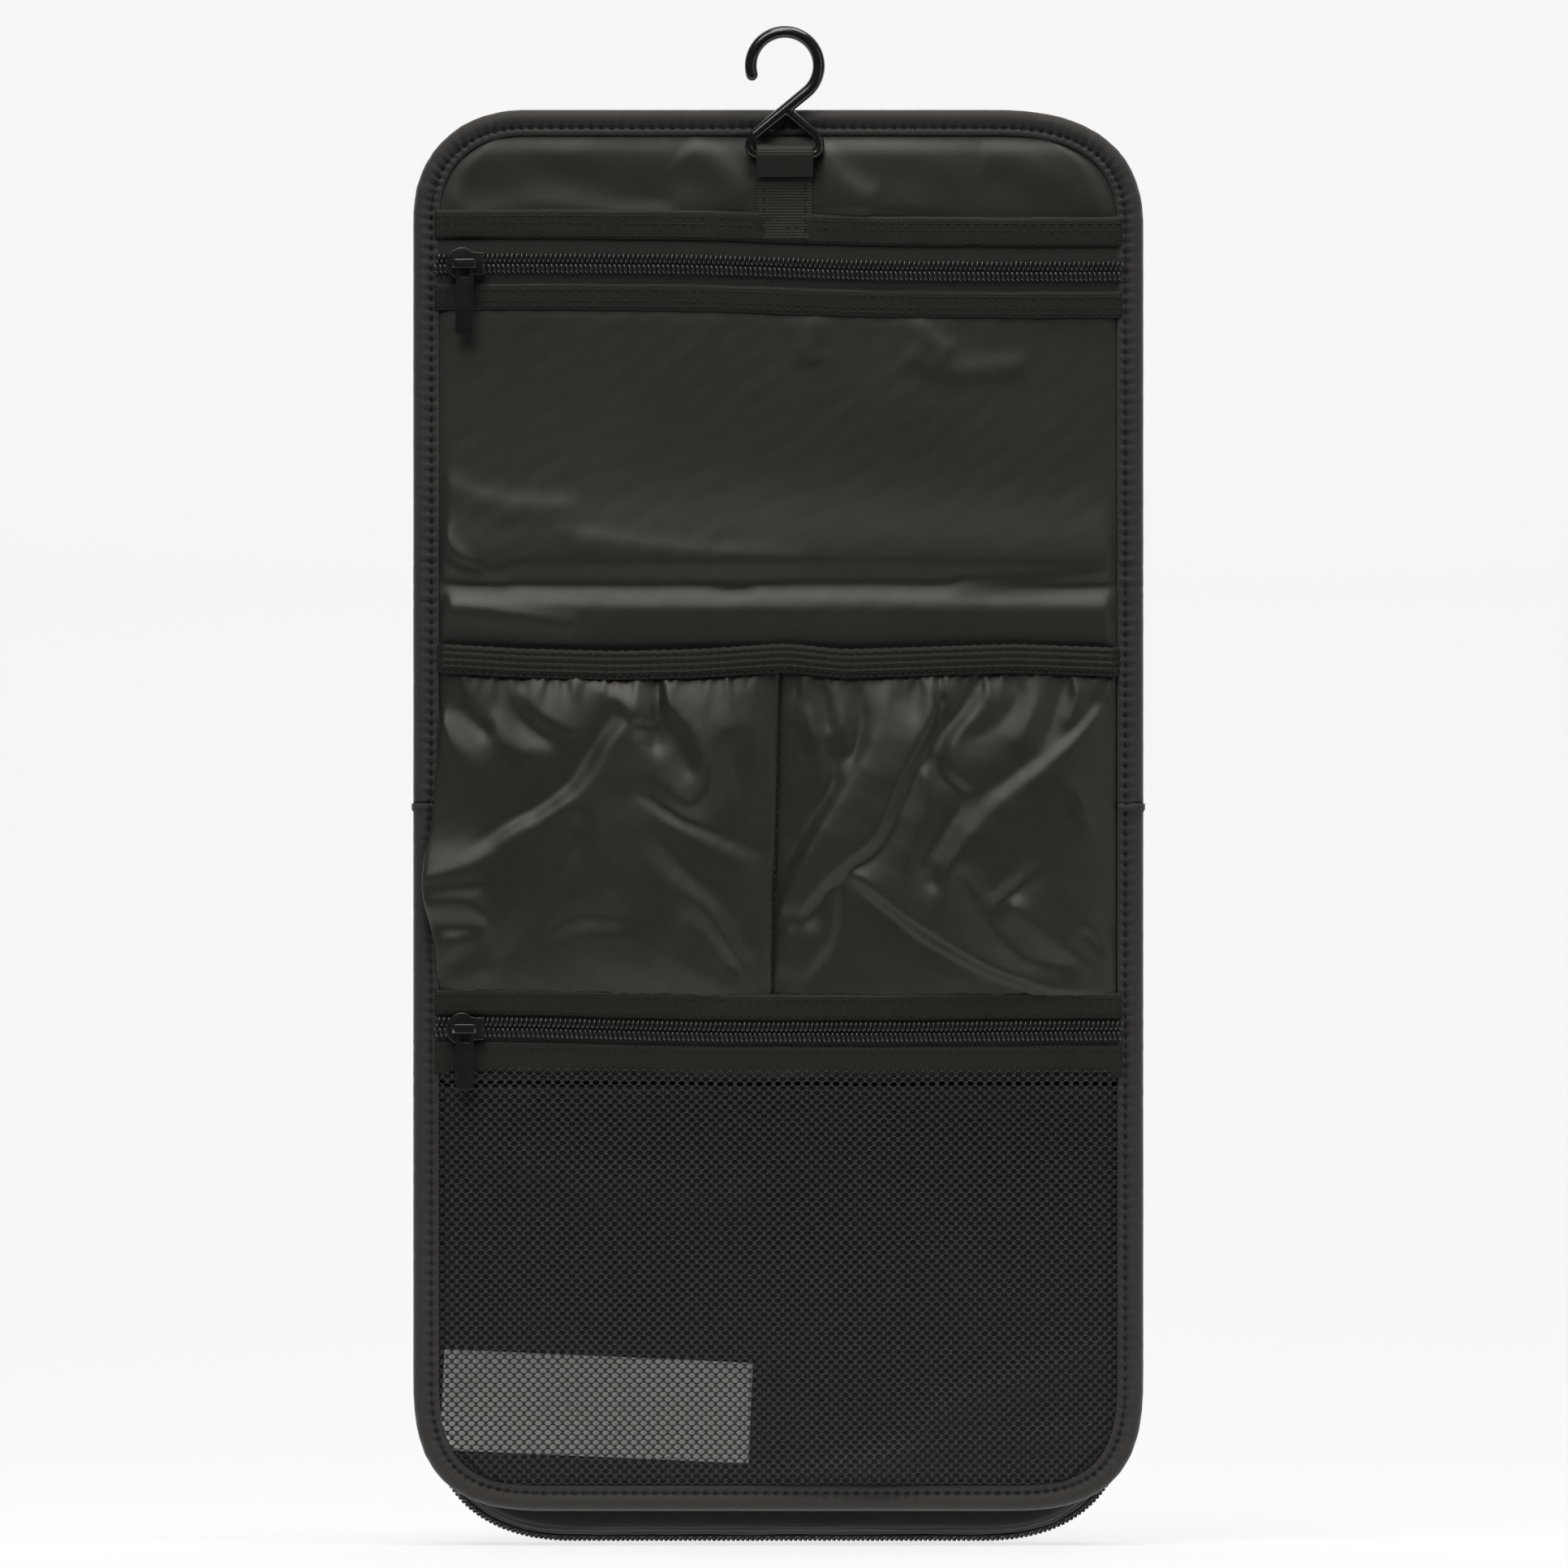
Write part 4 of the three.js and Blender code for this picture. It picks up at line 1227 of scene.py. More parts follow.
def binding_shape(seed, step_out):
    """How the binding puckers at its stitches, creases at the folds and steps out over its join."""
    section = np.asarray(BINDING_SECTION)
    outer = smooth((6.6 - section[:, 0]) / 6.6)[None, :]
    rolled = np.where(np.abs(section[:, 1] - 2.05) > 1.0, 1.0, 0.6)[None, :]
    skin = ((section[:, 1] < -0.31) | (section[:, 1] > 4.42) | (section[:, 0] < 1.85))[None, :]
    pucker = settings().binding.pucker / MM
    facing = np.where(section[:, 1] < 2.05, -1.0, 1.0)[None, :]

    def shape(along, points, n, y):
        z = points[:, 1][:, None]
        x = points[:, 0][:, None]
        heading = np.unwrap(np.arctan2(*np.gradient(points, axis=0).T))
        turning = np.clip(np.abs(np.gradient(heading))[:, None] * 14, 0, 1)
        groove = bump(section[:, 0], STITCH_INSET - 0.3, 2.1)[None, :]
        ripple = waves(along, 0 * along, seed, 4.2, 5) * (0.3 + 1.6 * turning)
        push = pucker * ripple * (0.6 + outer)
        push = push + 0.16 * waves(along * 0.25, x * 0 + z * 0.05, seed + 1, 12)
        push = push - 1.3 * pucker * groove * np.cos(along * math.tau / 3.1)
        for fold_z, lines in ((UPPER_FOLD, (5.6, -1.6, -6.0)), (LOWER_FOLD, (10.5, 0.6, -4.6))):
            for k, offset in enumerate(lines):
                slant = offset + 0.7 * np.sin(x * 0.1 + k)
                push = push - (0.42 - 0.08 * k) * bump(z, fold_z + slant, 0.75)
                push = push + 0.22 * bump(z, fold_z + slant + 1.7, 1.1)
        over = step_out * smooth((z - (BINDING_JOIN - 2.5)) / 0.8) if step_out > 0 else 0
        push = push * skin
        sideways = push * outer * rolled * (0.22 + 0.78 * groove)
        outwards = push * (0.35 + 0.65 * groove) + over * skin
        return n - sideways - over * outer, y + outwards * facing

    return shape


class TOILETRYBAG_OT_edge_binding(bpy.types.Operator):
    """Makes the rolled binding round the whole bag, with its stitches and its overlapped join"""

    bl_idname = "toiletrybag.edge_binding"
    bl_label = "Edge binding"

    def execute(self, context):
        material = finish_named("soft binding cloth")
        thread = finish_named("sewing thread")
        stitch = stitch_unit()
        pitch = settings().binding.stitch_pitch
        for name, start, seed, step_out, blend, stands_for in (
            ("upper_binding", "left", 51, 0.0, blend_upper, ("top_binding", "middle_binding_left")),
            ("lower_binding", "right", 52, 0.55, blend_lower, ("bottom_binding", "middle_binding_right")),
        ):
            path = resampled(bag_edge(start), 0.9)
            roll = swept(name, path, BINDING_SECTION, material, binding_shape(seed, step_out))
            blend(roll)
            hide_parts(*stands_for)
            line = path + inward(path) * STITCH_INSET
            front, back = [np.stack([line[:, 0], 0 * line[:, 0] + d, line[:, 1]], 1) for d in (-0.78, 4.98)]
            seam = repeated(f"{name}_stitches", [front, back], pitch, stitch, thread)
            blend(seam)
        bpy.data.objects.remove(stitch)
        return {"FINISHED"}


# ---- Zips --------------------------------------------------------------------


def band(name, left, right, lower, upper, deep, thickness, material, steps=(200, 10), ripple=0.06,
         seed=60, roll=0.25):
    """A strip of tape between two lines lower(x) and upper(x), with slightly rolled edges."""
    x = np.linspace(left, right, steps[0])[None, :].repeat(steps[1], 0)
    share = np.linspace(1, 0, steps[1])[:, None]
    z = lower(x) * (1 - share) + upper(x) * share
    edge = np.abs(share - 0.5) * 2
    depth = deep + roll * smooth((edge - 0.75) / 0.25) + ripple * waves(x, z * 0.4, seed, 9) * (0.4 + edge)
    depth = depth + 0 * x
    return cloth(name, x, z, depth, thickness, material)


def rows_along(line, offsets, left, right, deep, wander=0.12, seed=70):
    """Rows of stitching parallel to a line."""
    x = np.linspace(left, right, 160)
    return [
        np.stack([x, 0 * x + deep, line(x) + offset + wander * waves(x, 0 * x, seed + k, 40)], 1)
        for k, offset in enumerate(offsets)
    ]


def front_zip(prefix, line, trims, rows, body, blend_trim):
    """Tape, coil, trims and stitches of a zip that runs across the bag."""
    end = HALF - 6.6
    left, right = MIDDLE - end, MIDDLE + end
    tape, coil = finish_named("herringbone zip tape"), finish_named("nylon coil")
    grosgrain, thread = finish_named("grosgrain tape"), finish_named("sewing thread")
    pitch = settings().zips.tooth_pitch
    stitch = stitch_unit(1.9, 0.42, 0.35)
    for label, side, trim, seams in zip(("upper", "lower"), (1, -1), trims, rows):
        near, far = sorted(v * side for v in (0.12, abs(trim[1]) - 1.5))
        strip = band(
            f"{prefix}_{label}_tape", left, right, lambda x: line(x) + near, lambda x: line(x) + far,
            -1.0, 0.3, tape, seed=61,
        )
        tooth = tooth_unit(side)
        x = np.linspace(left + 0.6, right - 0.6, 260)
        x = x + (0.37 if side > 0 else -0.37)
        teeth_line = [np.stack([x, 0 * x - 2.05, line(x)], 1)]
        teeth = repeated(f"{prefix}_{label}_coil", teeth_line, pitch, tooth, coil, 0.03)
        bpy.data.objects.remove(tooth)
        near, far = sorted(trim)
        edge = 0.22
        facing = band(
            f"{prefix}_{label}_grosgrain", left, right,
            lambda x: line(x) + near + edge * waves(x, 0 * x, 62, 22),
            lambda x: line(x) + far + edge * waves(x, 0 * x, 63, 25),
            -1.85, 0.45, grosgrain, seed=64,
        )
        sewn = repeated(
            f"{prefix}_{label}_stitches", rows_along(line, seams, left + 1, right - 1, -1.93), 0.0029,
            stitch, thread
        )
        for piece in (strip, teeth):
            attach(piece, body)
        for piece in (facing, sewn):
            blend_trim(piece) if side < 0 and blend_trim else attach(piece, body)
        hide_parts(f"{prefix}_{label}_stringer")
        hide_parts(f"{prefix}_{label}_trim")
    bpy.data.objects.remove(stitch)


class TOILETRYBAG_OT_front_zips(bpy.types.Operator):
    """Makes the tapes, coils and grosgrain trims of the two zips across the front"""

    bl_idname = "toiletrybag.front_zips"
    bl_label = "Front zips"

    def execute(self, context):
        front_zip(
            "top_zip", top_chain_line, ((7.5, 16.7), (-6.1, -14.4)),
            ((14.6, 12.4, 8.6), (-8.0, -11.4, -13.0)), "top_panel", None,
        )
        front_zip(
            "mesh_zip", lower_chain_line, ((3.4, 11.6), (-4.4, -14.3)),
            ((10.0, 5.2), (-6.0, -12.6)), "middle_panel", blend_lower,
        )
        return {"FINISHED"}


def prism(outline, plane, low, high):
    """Points and faces of an outline given in two axes and pushed out along the third."""
    outline = np.asarray(outline, float)
    third = {"xz": 1, "xy": 2}[plane]
    axes = {"xz": (0, 2), "xy": (0, 1)}[plane]
    points = np.zeros((2 * len(outline), 3))
    for part, value in enumerate((low, high)):
        rows = slice(part * len(outline), (part + 1) * len(outline))
        points[rows, axes[0]], points[rows, axes[1]] = outline[:, 0], outline[:, 1]
        points[rows, third] = value
    count = len(outline)
    faces = [list(range(count))[::-1], [count + i for i in range(count)]]
    faces += [[i, (i + 1) % count, count + (i + 1) % count, count + i] for i in range(count)]
    return points, faces


def slider_casting(name, pivot, sideways, material):
    """A zip slider: a waisted plate with a crown that runs along the zip, over the puller's bar."""
    lobe = [(-0.8 + 4.9 * math.cos(a), 4.9 * math.sin(a)) for a in np.linspace(1.25, math.tau - 1.25, 26)]
    plate = [(5.7, 3.35), (2.6, 3.45), (1.6, 3.9), *lobe, (1.6, -3.9), (2.6, -3.45), (5.7, -3.35)]
    crown = [(-3.9, -5.1), (-3.9, -7.35), (-3.1, -8.2), (2.9, -8.2), (3.75, -7.35), (3.75, -5.1),
             (2.8, -5.1), (2.8, -7.1), (2.6, -7.3), (-2.8, -7.3), (-3.0, -7.1), (-3.0, -5.1)]
    cast = []
    for points, faces in (prism(plate, "xz", -5.2, -3.4), prism(crown, "xy", -1.35, 1.35)):
        points = points + (0, 6.2, 0)
        if sideways:
            points = np.stack([-points[:, 1], -points[:, 2], points[:, 0]], 1)
        cast.append((points + pivot, faces))
    points, faces = joined(cast)
    made = to_object(name, points, faces, material)
    bevel = {"width": 0.42 * MM, "segments": 3, "limit_method": "ANGLE", "angle_limit": math.radians(40)}
    finished(made, ("BEVEL", bevel))
    made.data.polygons.foreach_set("use_smooth", [True] * len(made.data.polygons))
    made.data.set_sharp_from_angle(angle=math.radians(55))
    return made


class TOILETRYBAG_OT_sliders(bpy.types.Operator):
    """Makes the three sliders and their pullers, with softened cast edges"""

    bl_idname = "toiletrybag.sliders"
    bl_label = "Sliders and pullers"

    def execute(self, context):
        metal = finish_named("black painted metal")
        for prefix in ("top", "mesh", "main"):
            pivot = JOINT_AT[f"{prefix}_puller_swing"]
            slider = slider_casting(f"{prefix}_zip_slider_casting", pivot, prefix == "main", metal)
            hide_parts(f"{prefix}_zip_slider")
            puller = refined(f"{prefix}_zip_puller_casting", f"{prefix}_zip_puller", 0.36, metal)
            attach(slider, f"{prefix}_slider")
            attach(puller, f"{prefix}_puller")
        return {"FINISHED"}


# ---- Gathered pockets --------------------------------------------------------


ELASTIC_SAG = [(-105, -1.1), (-80, 0.4), (-50, 1.2), (-25, 0.6), (2.5, -1.2), (20, 0.7), (45, -0.1),
               (72, -1.0), (105, 0.2)]


def elastic_top(x):
    """Height of the elastic's upper edge, which rises at the ends and at the divider."""
    u, sag = np.asarray(ELASTIC_SAG).T
    fine = np.linspace(u[0], u[-1], 211)
    line = np.convolve(np.pad(np.interp(fine, u, sag), 6, "edge"),
                       np.hanning(15)[1:-1] / np.hanning(15).sum(), "valid")
    return ELASTIC_HIGH[2] - 0.4 - np.interp(x - MIDDLE, fine, line)


ELASTIC_HEIGHT = 8.8


def gather_ripples(u, drop, seed):
    """Gathers that start at the elastic, each with its own width, slant and length."""
    rng = np.random.default_rng(seed)
    total = np.zeros(u.shape)
    centre = -HALF
    while centre < HALF:
        centre += rng.uniform(2.2, 6.4)
        width, length = rng.uniform(0.7, 2.0), rng.uniform(4.0, 13.0)
        height, slant = rng.uniform(0.4, 1.25), rng.uniform(-0.25, 0.25)
        near = np.exp(-(((u - centre - slant * drop) / (width + 0.08 * drop)) ** 2))
        total += height * near * np.exp(-((drop / length) ** 2))
    return total - 0.5 * np.exp(-((drop / 6.0) ** 2))


# Crests and creases of the two pockets: lines of (across, height, stand), where stand is how far the cloth
# lies in front of the lining. The cloth is drawn tight between them.
LEFT_LINES = [
    [(-61.6, -198.2, 2.5), (-49.9, -203, 5.5), (-44, -208.1, 7)],
    [(-44, -209, 7), (-47, -212.5, 7.2), (-52.1, -218.4, 7.4), (-57.2, -227.9, 7.6), (-65.3, -236, 7.8),
     (-73.4, -241.1, 7.6), (-80.7, -244.8, 7.2), (-91.7, -253.6, 6.5), (-101.5, -260, 5.6)],
    [(-49.5, -207, 4.4), (-56, -216, 4.4), (-62.5, -227, 4.6), (-70, -234.5, 4.8), (-80, -240.5, 4.8),
     (-93, -249, 4.4)],
    [(-80, -201.5, 3), (-71.2, -209.6, 6), (-62.4, -213.7, 6.8)],
    [(-86.9, -210.3, 4.5), (-85, -216, 6), (-79.2, -219.8, 6.4), (-74, -219.8, 6)],
    [(-82.9, -200.8, 2.2), (-80, -209.6, 3), (-71.2, -216.2, 4.2)],
    [(-104.5, -210.7, 2.5), (-99, -218.4, 4.8), (-92.4, -227.9, 5.4)],
    [(-104, -206, 1), (-96, -210, 1.8), (-90, -215, 2.6)],
    [(-38.9, -211.4, 3.4), (-42, -212, 4), (-46, -211, 5)],
    [(-44, -197.8, 2.2), (-40.4, -205.2, 5.2), (-38.5, -211, 6)],
    [(-36, -198, 1.6), (-37.5, -208, 2.6), (-38.3, -218, 3.2)],
    [(-34.9, -198.6, 2.5), (-34.5, -203, 4.5), (-29.4, -209.6, 6), (-24.2, -216.9, 7), (-21.3, -223.5, 7.4),
     (-21.7, -230, 7.6), (-25, -235.2, 7.6), (-29.4, -236, 7.4), (-33.8, -230.1, 7), (-38.2, -223.5, 6.4),
     (-44.8, -214.7, 6.6)],
    [(-34, -210, 4), (-30.6, -218, 4.6), (-27, -226, 5.6)],
    [(-41.8, -232.3, 5.2), (-35, -237, 4.8), (-28.6, -240.4, 4.6), (-17, -245.5, 3.6), (-6.6, -250.6, 1.5)],
    [(-45, -233, 6.8), (-36, -240, 7), (-26, -245.5, 6.6), (-10, -253.5, 4)],
    [(-32.3, -203, 4), (-24.2, -209.6, 5.4), (-15.4, -213.2, 5.6), (-6.6, -211.8, 3.6)],
    [(-14, -222, 3.6), (-12, -232, 3.4)],
    [(-61.6, -241, 6.2), (-61.6, -246.2, 5.6), (-68.2, -258.7, 5.4), (-72.6, -267.5, 5), (-80.7, -280, 3.6),
     (-84.4, -282.9, 2.8)],
    [(-55, -242, 8), (-53, -252, 8.4), (-52, -262, 8.2)],
    [(-47.7, -244, 8), (-38.9, -253.6, 7.8), (-31.6, -260.2, 7.4), (-21.3, -268.3, 6.6),
     (-16.9, -274.9, 5.6),
     (-11.8, -282.9, 4), (-6.6, -292.5, 1.2)],
    [(-36, -247, 5.6), (-27, -257, 5), (-16, -268, 3.8), (-9, -281, 1.8)],
    [(-68.2, -280, 4), (-62.4, -276.3, 5.4), (-49.9, -275.6, 6.2), (-38.9, -278.5, 5.8),
     (-25.7, -285.9, 4), (-11, -293.2, 1)],
    [(-71, -277.4, 3.4), (-65, -271.6, 4.2), (-57, -270, 5), (-47, -271.4, 5.8)],
    [(-28.5, -270.5, 5.2), (-22, -277, 3.6), (-14, -286, 1.6)],
    [(-101.5, -270, 4.4), (-99.5, -267, 5.4), (-95, -266.6, 6), (-91, -270.5, 6.4), (-88, -274.1, 6),
     (-85.1, -280.7, 4.6), (-84.4, -283.6, 3.6)],
    [(-101.2, -273.4, 2.6), (-96.1, -274.1, 2.8), (-91.5, -272.9, 4)],
    [(-101.5, -284.8, 2.4), (-97.6, -277.8, 4.6)],
    [(-100.5, -292.5, 1), (-92, -288, 3), (-86.6, -284.4, 3.6)],
    [(-101, -290, 1), (-94, -281.5, 2.4)],
    [(-101, -263.6, 4.6), (-92, -261, 5.2)],
]
RIGHT_LINES = [
    [(34.2, -198.1, 2.5), (31.2, -211.6, 5.5), (25.2, -224.3, 6.5), (17, -236.3, 7), (10.2, -247.6, 6.8),
     (5, -258.8, 6),
     (1.2, -267.8, 4)],
    [(47.7, -200.4, 3.5), (47, -209.4, 6), (40.2, -222.8, 7.4), (35.7, -231.8, 7.8), (32, -240.8, 8),
     (28.2, -246.8, 8),
     (20.7, -252.8, 7.6), (13.2, -260.3, 6.4), (7.2, -268.6, 4.6)],
    [(50.4, -203, 1.8), (49.4, -211, 2.8), (42.8, -224, 4), (38.4, -233, 4.6), (35, -242, 5),
     (30.7, -249, 5),
     (22.7, -255.4, 4.4), (15.2, -262.6, 3.2), (8.8, -270.7, 2)],
    [(15.5, -218.3, 2.6), (17, -227.3, 3.4), (12.9, -236.3, 3.4), (6.5, -247.6, 2.4), (0.3, -260.3, 1.2)],
    [(9.1, -198.1, 2.2), (10.2, -210.9, 4.4), (12.5, -219.8, 5), (12.2, -229.3, 5)],
    [(5, -199.6, 1), (4.2, -210.1, 1.8), (8.2, -221.3, 3)],
    [(20, -198.9, 2.2), (20, -210.1, 4.6), (20.9, -218.3, 5)],
    [(13.2, -200.4, 1.4), (14.7, -211.6, 2.4)],
    [(24.9, -200.4, 1.4), (25.2, -210.1, 2.6), (22.4, -221.3, 3.8)],
    [(16.6, -259.6, 5.4), (17, -269.3, 5), (15.1, -277.6, 4), (8.7, -286.5, 2.6), (2.7, -293.3, 1)],
    [(19.2, -260.3, 3.4), (19.2, -270, 2.8), (17.1, -279.8, 2.2), (10.2, -288.8, 1)],
    [(3.5, -275.3, 4), (2.4, -286.5, 2.4)],
    [(23, -256.6, 6.2), (31.2, -263.7, 7), (41.7, -271.9, 7.2), (52.2, -278.7, 6.8), (64.2, -285.4, 5.6),
     (77.7, -290.7, 4),
     (91.9, -293.9, 2), (103.4, -294.4, 0.8)],
    [(21.4, -258.8, 4.4), (29.9, -266.2, 3.8), (40.4, -274.4, 3.4), (51, -281.2, 3), (63.2, -288, 2.2),
     (77, -292.8, 1)],
    [(37.2, -202.6, 2.6), (38.7, -210.1, 5.4), (40.2, -215.7, 6.8), (43.2, -213.1, 6.6)],
    [(40.2, -200.4, 2), (41.4, -207.1, 3.8)],
    [(61.9, -196.6, 1), (57.5, -204.9, 2), (49.9, -215.4, 3), (47.9, -221.3, 3.4), (50.7, -227.3, 3.8),
     (56.7, -231.8, 4.2),
     (57.5, -234.8, 4.4), (52.2, -242.3, 4.6), (47, -249.1, 4.8), (44, -255.8, 5)],
    [(66.4, -198.1, 2.4), (61.2, -207.9, 5), (53.7, -216.8, 6), (53.3, -224.3, 6.4), (58.9, -229.6, 6.8)],
    [(55.2, -199.4, 2.4), (52, -206.4, 4)],
    [(45.2, -225.3, 5.8), (46.7, -233.3, 6.2), (43.7, -242.3, 6.4), (39.5, -251.3, 6.6),
     (39.5, -258.8, 6.8)],
    [(99, -206.4, 3.4), (92.7, -214.6, 5.6), (83.7, -222.8, 7), (74.7, -230.3, 7.6), (66.4, -237.1, 7.8),
     (58.9, -245.3, 7.8),
     (54.5, -251.3, 7.6), (50.7, -260.3, 7.4), (52.2, -268.6, 7.2)],
    [(97.2, -204.4, 2.2), (84.8, -217.8, 4.8), (72.8, -226.8, 5.6), (64.5, -232.8, 5.8), (54.7, -242, 5.4),
     (47.9, -252.8, 5.2), (46.8, -260.3, 5.2)],
    [(82.2, -253.6, 6.2), (74.7, -260.3, 4.6), (65.7, -268.6, 3.4)],
    [(56.7, -257.3, 5.4), (62.7, -267.8, 3.4), (67.2, -275.3, 2.8), (76.2, -283.5, 2.4), (88.9, -285.8, 2)],
    [(73.2, -256.3, 7.2), (66, -262.8, 6.6)],
    [(71.7, -267.1, 6.6), (82.2, -275.3, 6), (92.7, -282.8, 4.6), (98.7, -286.5, 3.4), (103, -292.4, 1)],
    [(92.7, -274.2, 4.6), (96, -272.3, 5), (100.2, -278.3, 3.6), (103.4, -285, 1.2)],
    [(93.4, -276.1, 3.4), (97.2, -280.6, 2.6)],
    [(87.4, -233.3, 6.2), (91.2, -240.8, 5.2), (94.9, -246.1, 4.6)],
    [(90.4, -231.3, 7), (94.2, -238.8, 6.4)],
    [(100.2, -222.8, 2.6), (102.7, -233.3, 1.6)],
    [(74.7, -196.6, 1), (73.6, -204.1, 2.2), (67.2, -211.6, 3.8), (58.9, -215.4, 4.8)],
    [(87.4, -198.1, 1.2), (84.4, -210.1, 3), (80.7, -217.6, 4.6)],
    [(80.7, -199.6, 2.8), (77.7, -209.4, 5.4), (73.9, -216.8, 6.2)],
    [(92.7, -200.4, 3), (88.9, -211.6, 5)],
    [(97.9, -196.6, 2), (102.7, -202.6, 1.6)],
]


def drawn_tight(u, z, lines, rim, fullness, passes=1600):
    """Cloth drawn tight over crests and into creases: a membrane held along the lines and at its rim."""
    rows, cols = u.shape
    total, count = np.zeros(u.shape), np.zeros(u.shape)
    for line in lines:
        dense = resampled(curved(line, 10), 0.35)
        r = np.interp(-dense[:, 1], -z[:, cols // 2], np.arange(rows))
        r = np.clip(np.round(r).astype(int), 1, rows - 2)
        left, right = u[r, 0], u[r, -1]
        c = np.clip(np.round((dense[:, 0] - left) / (right - left) * (cols - 1)).astype(int), 1, cols - 2)
        np.add.at(total, (r, c), dense[:, 2])
        np.add.at(count, (r, c), 1)
    held = count > 0
    height = np.where(held, total / np.maximum(count, 1), 4.0)
    height[0], height[-1], height[:, 0], height[:, -1] = rim
    push = fullness * (np.diff(z[:2, 0])[0] ** 2)
    for _ in range(passes):
        soft = (height[:-2, 1:-1] + height[2:, 1:-1] + height[1:-1, :-2] + height[1:-1, 2:]) / 4 + push
        height[1:-1, 1:-1] = np.where(held[1:-1, 1:-1], height[1:-1, 1:-1], soft)
    for _ in range(5):
        soft = (height[:-2, 1:-1] + height[2:, 1:-1] + height[1:-1, :-2] + height[1:-1, 2:]) / 4
        height[1:-1, 1:-1] = 0.35 * height[1:-1, 1:-1] + 0.65 * soft
    return height


def pocket_lift(u, z, down, share, lines, seed):
    """Relief of a gathered pocket."""
    lift = drawn_tight(u, z, lines, (1.3, 0.5, 0.5, 0.5), 0.0035)
    drop = down * (z[0].mean() - z[-1].mean())
    lift += gather_ripples(u, drop, seed + 2) * smooth(np.minimum(share, 1 - share) / 0.02)
    lift += 0.30 * waves(u, z, seed, 16) + 0.09 * waves(u, z, seed + 1, 7)
    lift += seam_puckers(u, (1 - down) * 100, seed + 5, 6.5, 3.0, 0.4)
    return np.maximum(lift, 0.25)


class TOILETRYBAG_OT_gathered_pockets(bpy.types.Operator):
    """Makes the two gathered pockets of the middle panel and the seam between them"""

    bl_idname = "toiletrybag.gathered_pockets"
    bl_label = "Gathered pockets"

    def execute(self, context):
        material = finish_named("glossy pocket satin")
        divider = (span("left_gathered_pocket")[1][0] + span("right_gathered_pocket")[0][0]) / 2 - MIDDLE
        side = HALF - 7.9
        step = step_of(0.7)
        lean = 2.6
        for label, reach, lines, seed in (
            ("left", (-side, divider), LEFT_LINES, 81),
            ("right", (divider, side), RIGHT_LINES, 91),
        ):
            rows = int((ELASTIC_LOW[2] - span("left_gathered_pocket")[0][2]) / step)
            cols = int((reach[1] - reach[0]) / step)
            down = np.linspace(0, 1, rows + 1)[:, None]
            share = np.linspace(0, 1, cols + 1)[None, :]
            # The divider's seam leans a little to the left on its way down.
            slant = lean * (0.5 - down)
            left = reach[0] + (slant if label == "right" else 0)
            right = reach[1] + (slant if label == "left" else 0)
            u = left + (right - left) * share
            head = elastic_top(u + MIDDLE) - ELASTIC_HEIGHT + 1.6
            foot = lower_chain_line(u + MIDDLE) + 10.2
            z = head + (foot - head) * down
            lift = pocket_lift(u, z, down, share, lines, seed)
            over = np.zeros(u.shape)
            if label == "left":
                # Full cloth rolls out over the left binding.
                heights = (0, 0.12, 0.22, 0.33, 0.48, 0.59, 0.665, 0.72, 0.84, 0.93, 0.99, 1)
                belly = np.interp(down, heights, (0, 0, 0.15, 0.42, 0.62, 0.93, 1, 0.93, 0.5, 0.4, 0.05, 0))
                over = 8.6 * belly * bump(share, 0.035, 0.034)
                lift += 1.6 * belly * smooth(share / 0.012) * bump(share, 0.06, 0.07)
            lift = lift * smooth(share / 0.014 + 0.1) * smooth((1 - share) / 0.014 + 0.1)
            grid = np.stack([MIDDLE + u - over, LINING_FRONT - 0.5 - lift, z], -1)
            pocket = shell(f"{label}_pocket_cloth", grid, 0.3, material)
            settle(pocket, "middle_panel", "lining", f"{label}_gathered_pocket")
        stitch = stitch_unit(2.0, 0.4, 0.35)
        z = np.linspace(ELASTIC_LOW[2] + 1, span("left_gathered_pocket")[0][2] + 1, 60)
        share = (z[0] - z) / (z[0] - z[-1])
        row = np.stack([MIDDLE + divider + lean * (0.5 - share) - 0.1, 0 * z - 0.75, z], 1)
        sewn = repeated("divider_stitches", [row], 0.0028, stitch, finish_named("sewing thread"))
        bpy.data.objects.remove(stitch)
        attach(sewn, "middle_panel")
        return {"FINISHED"}


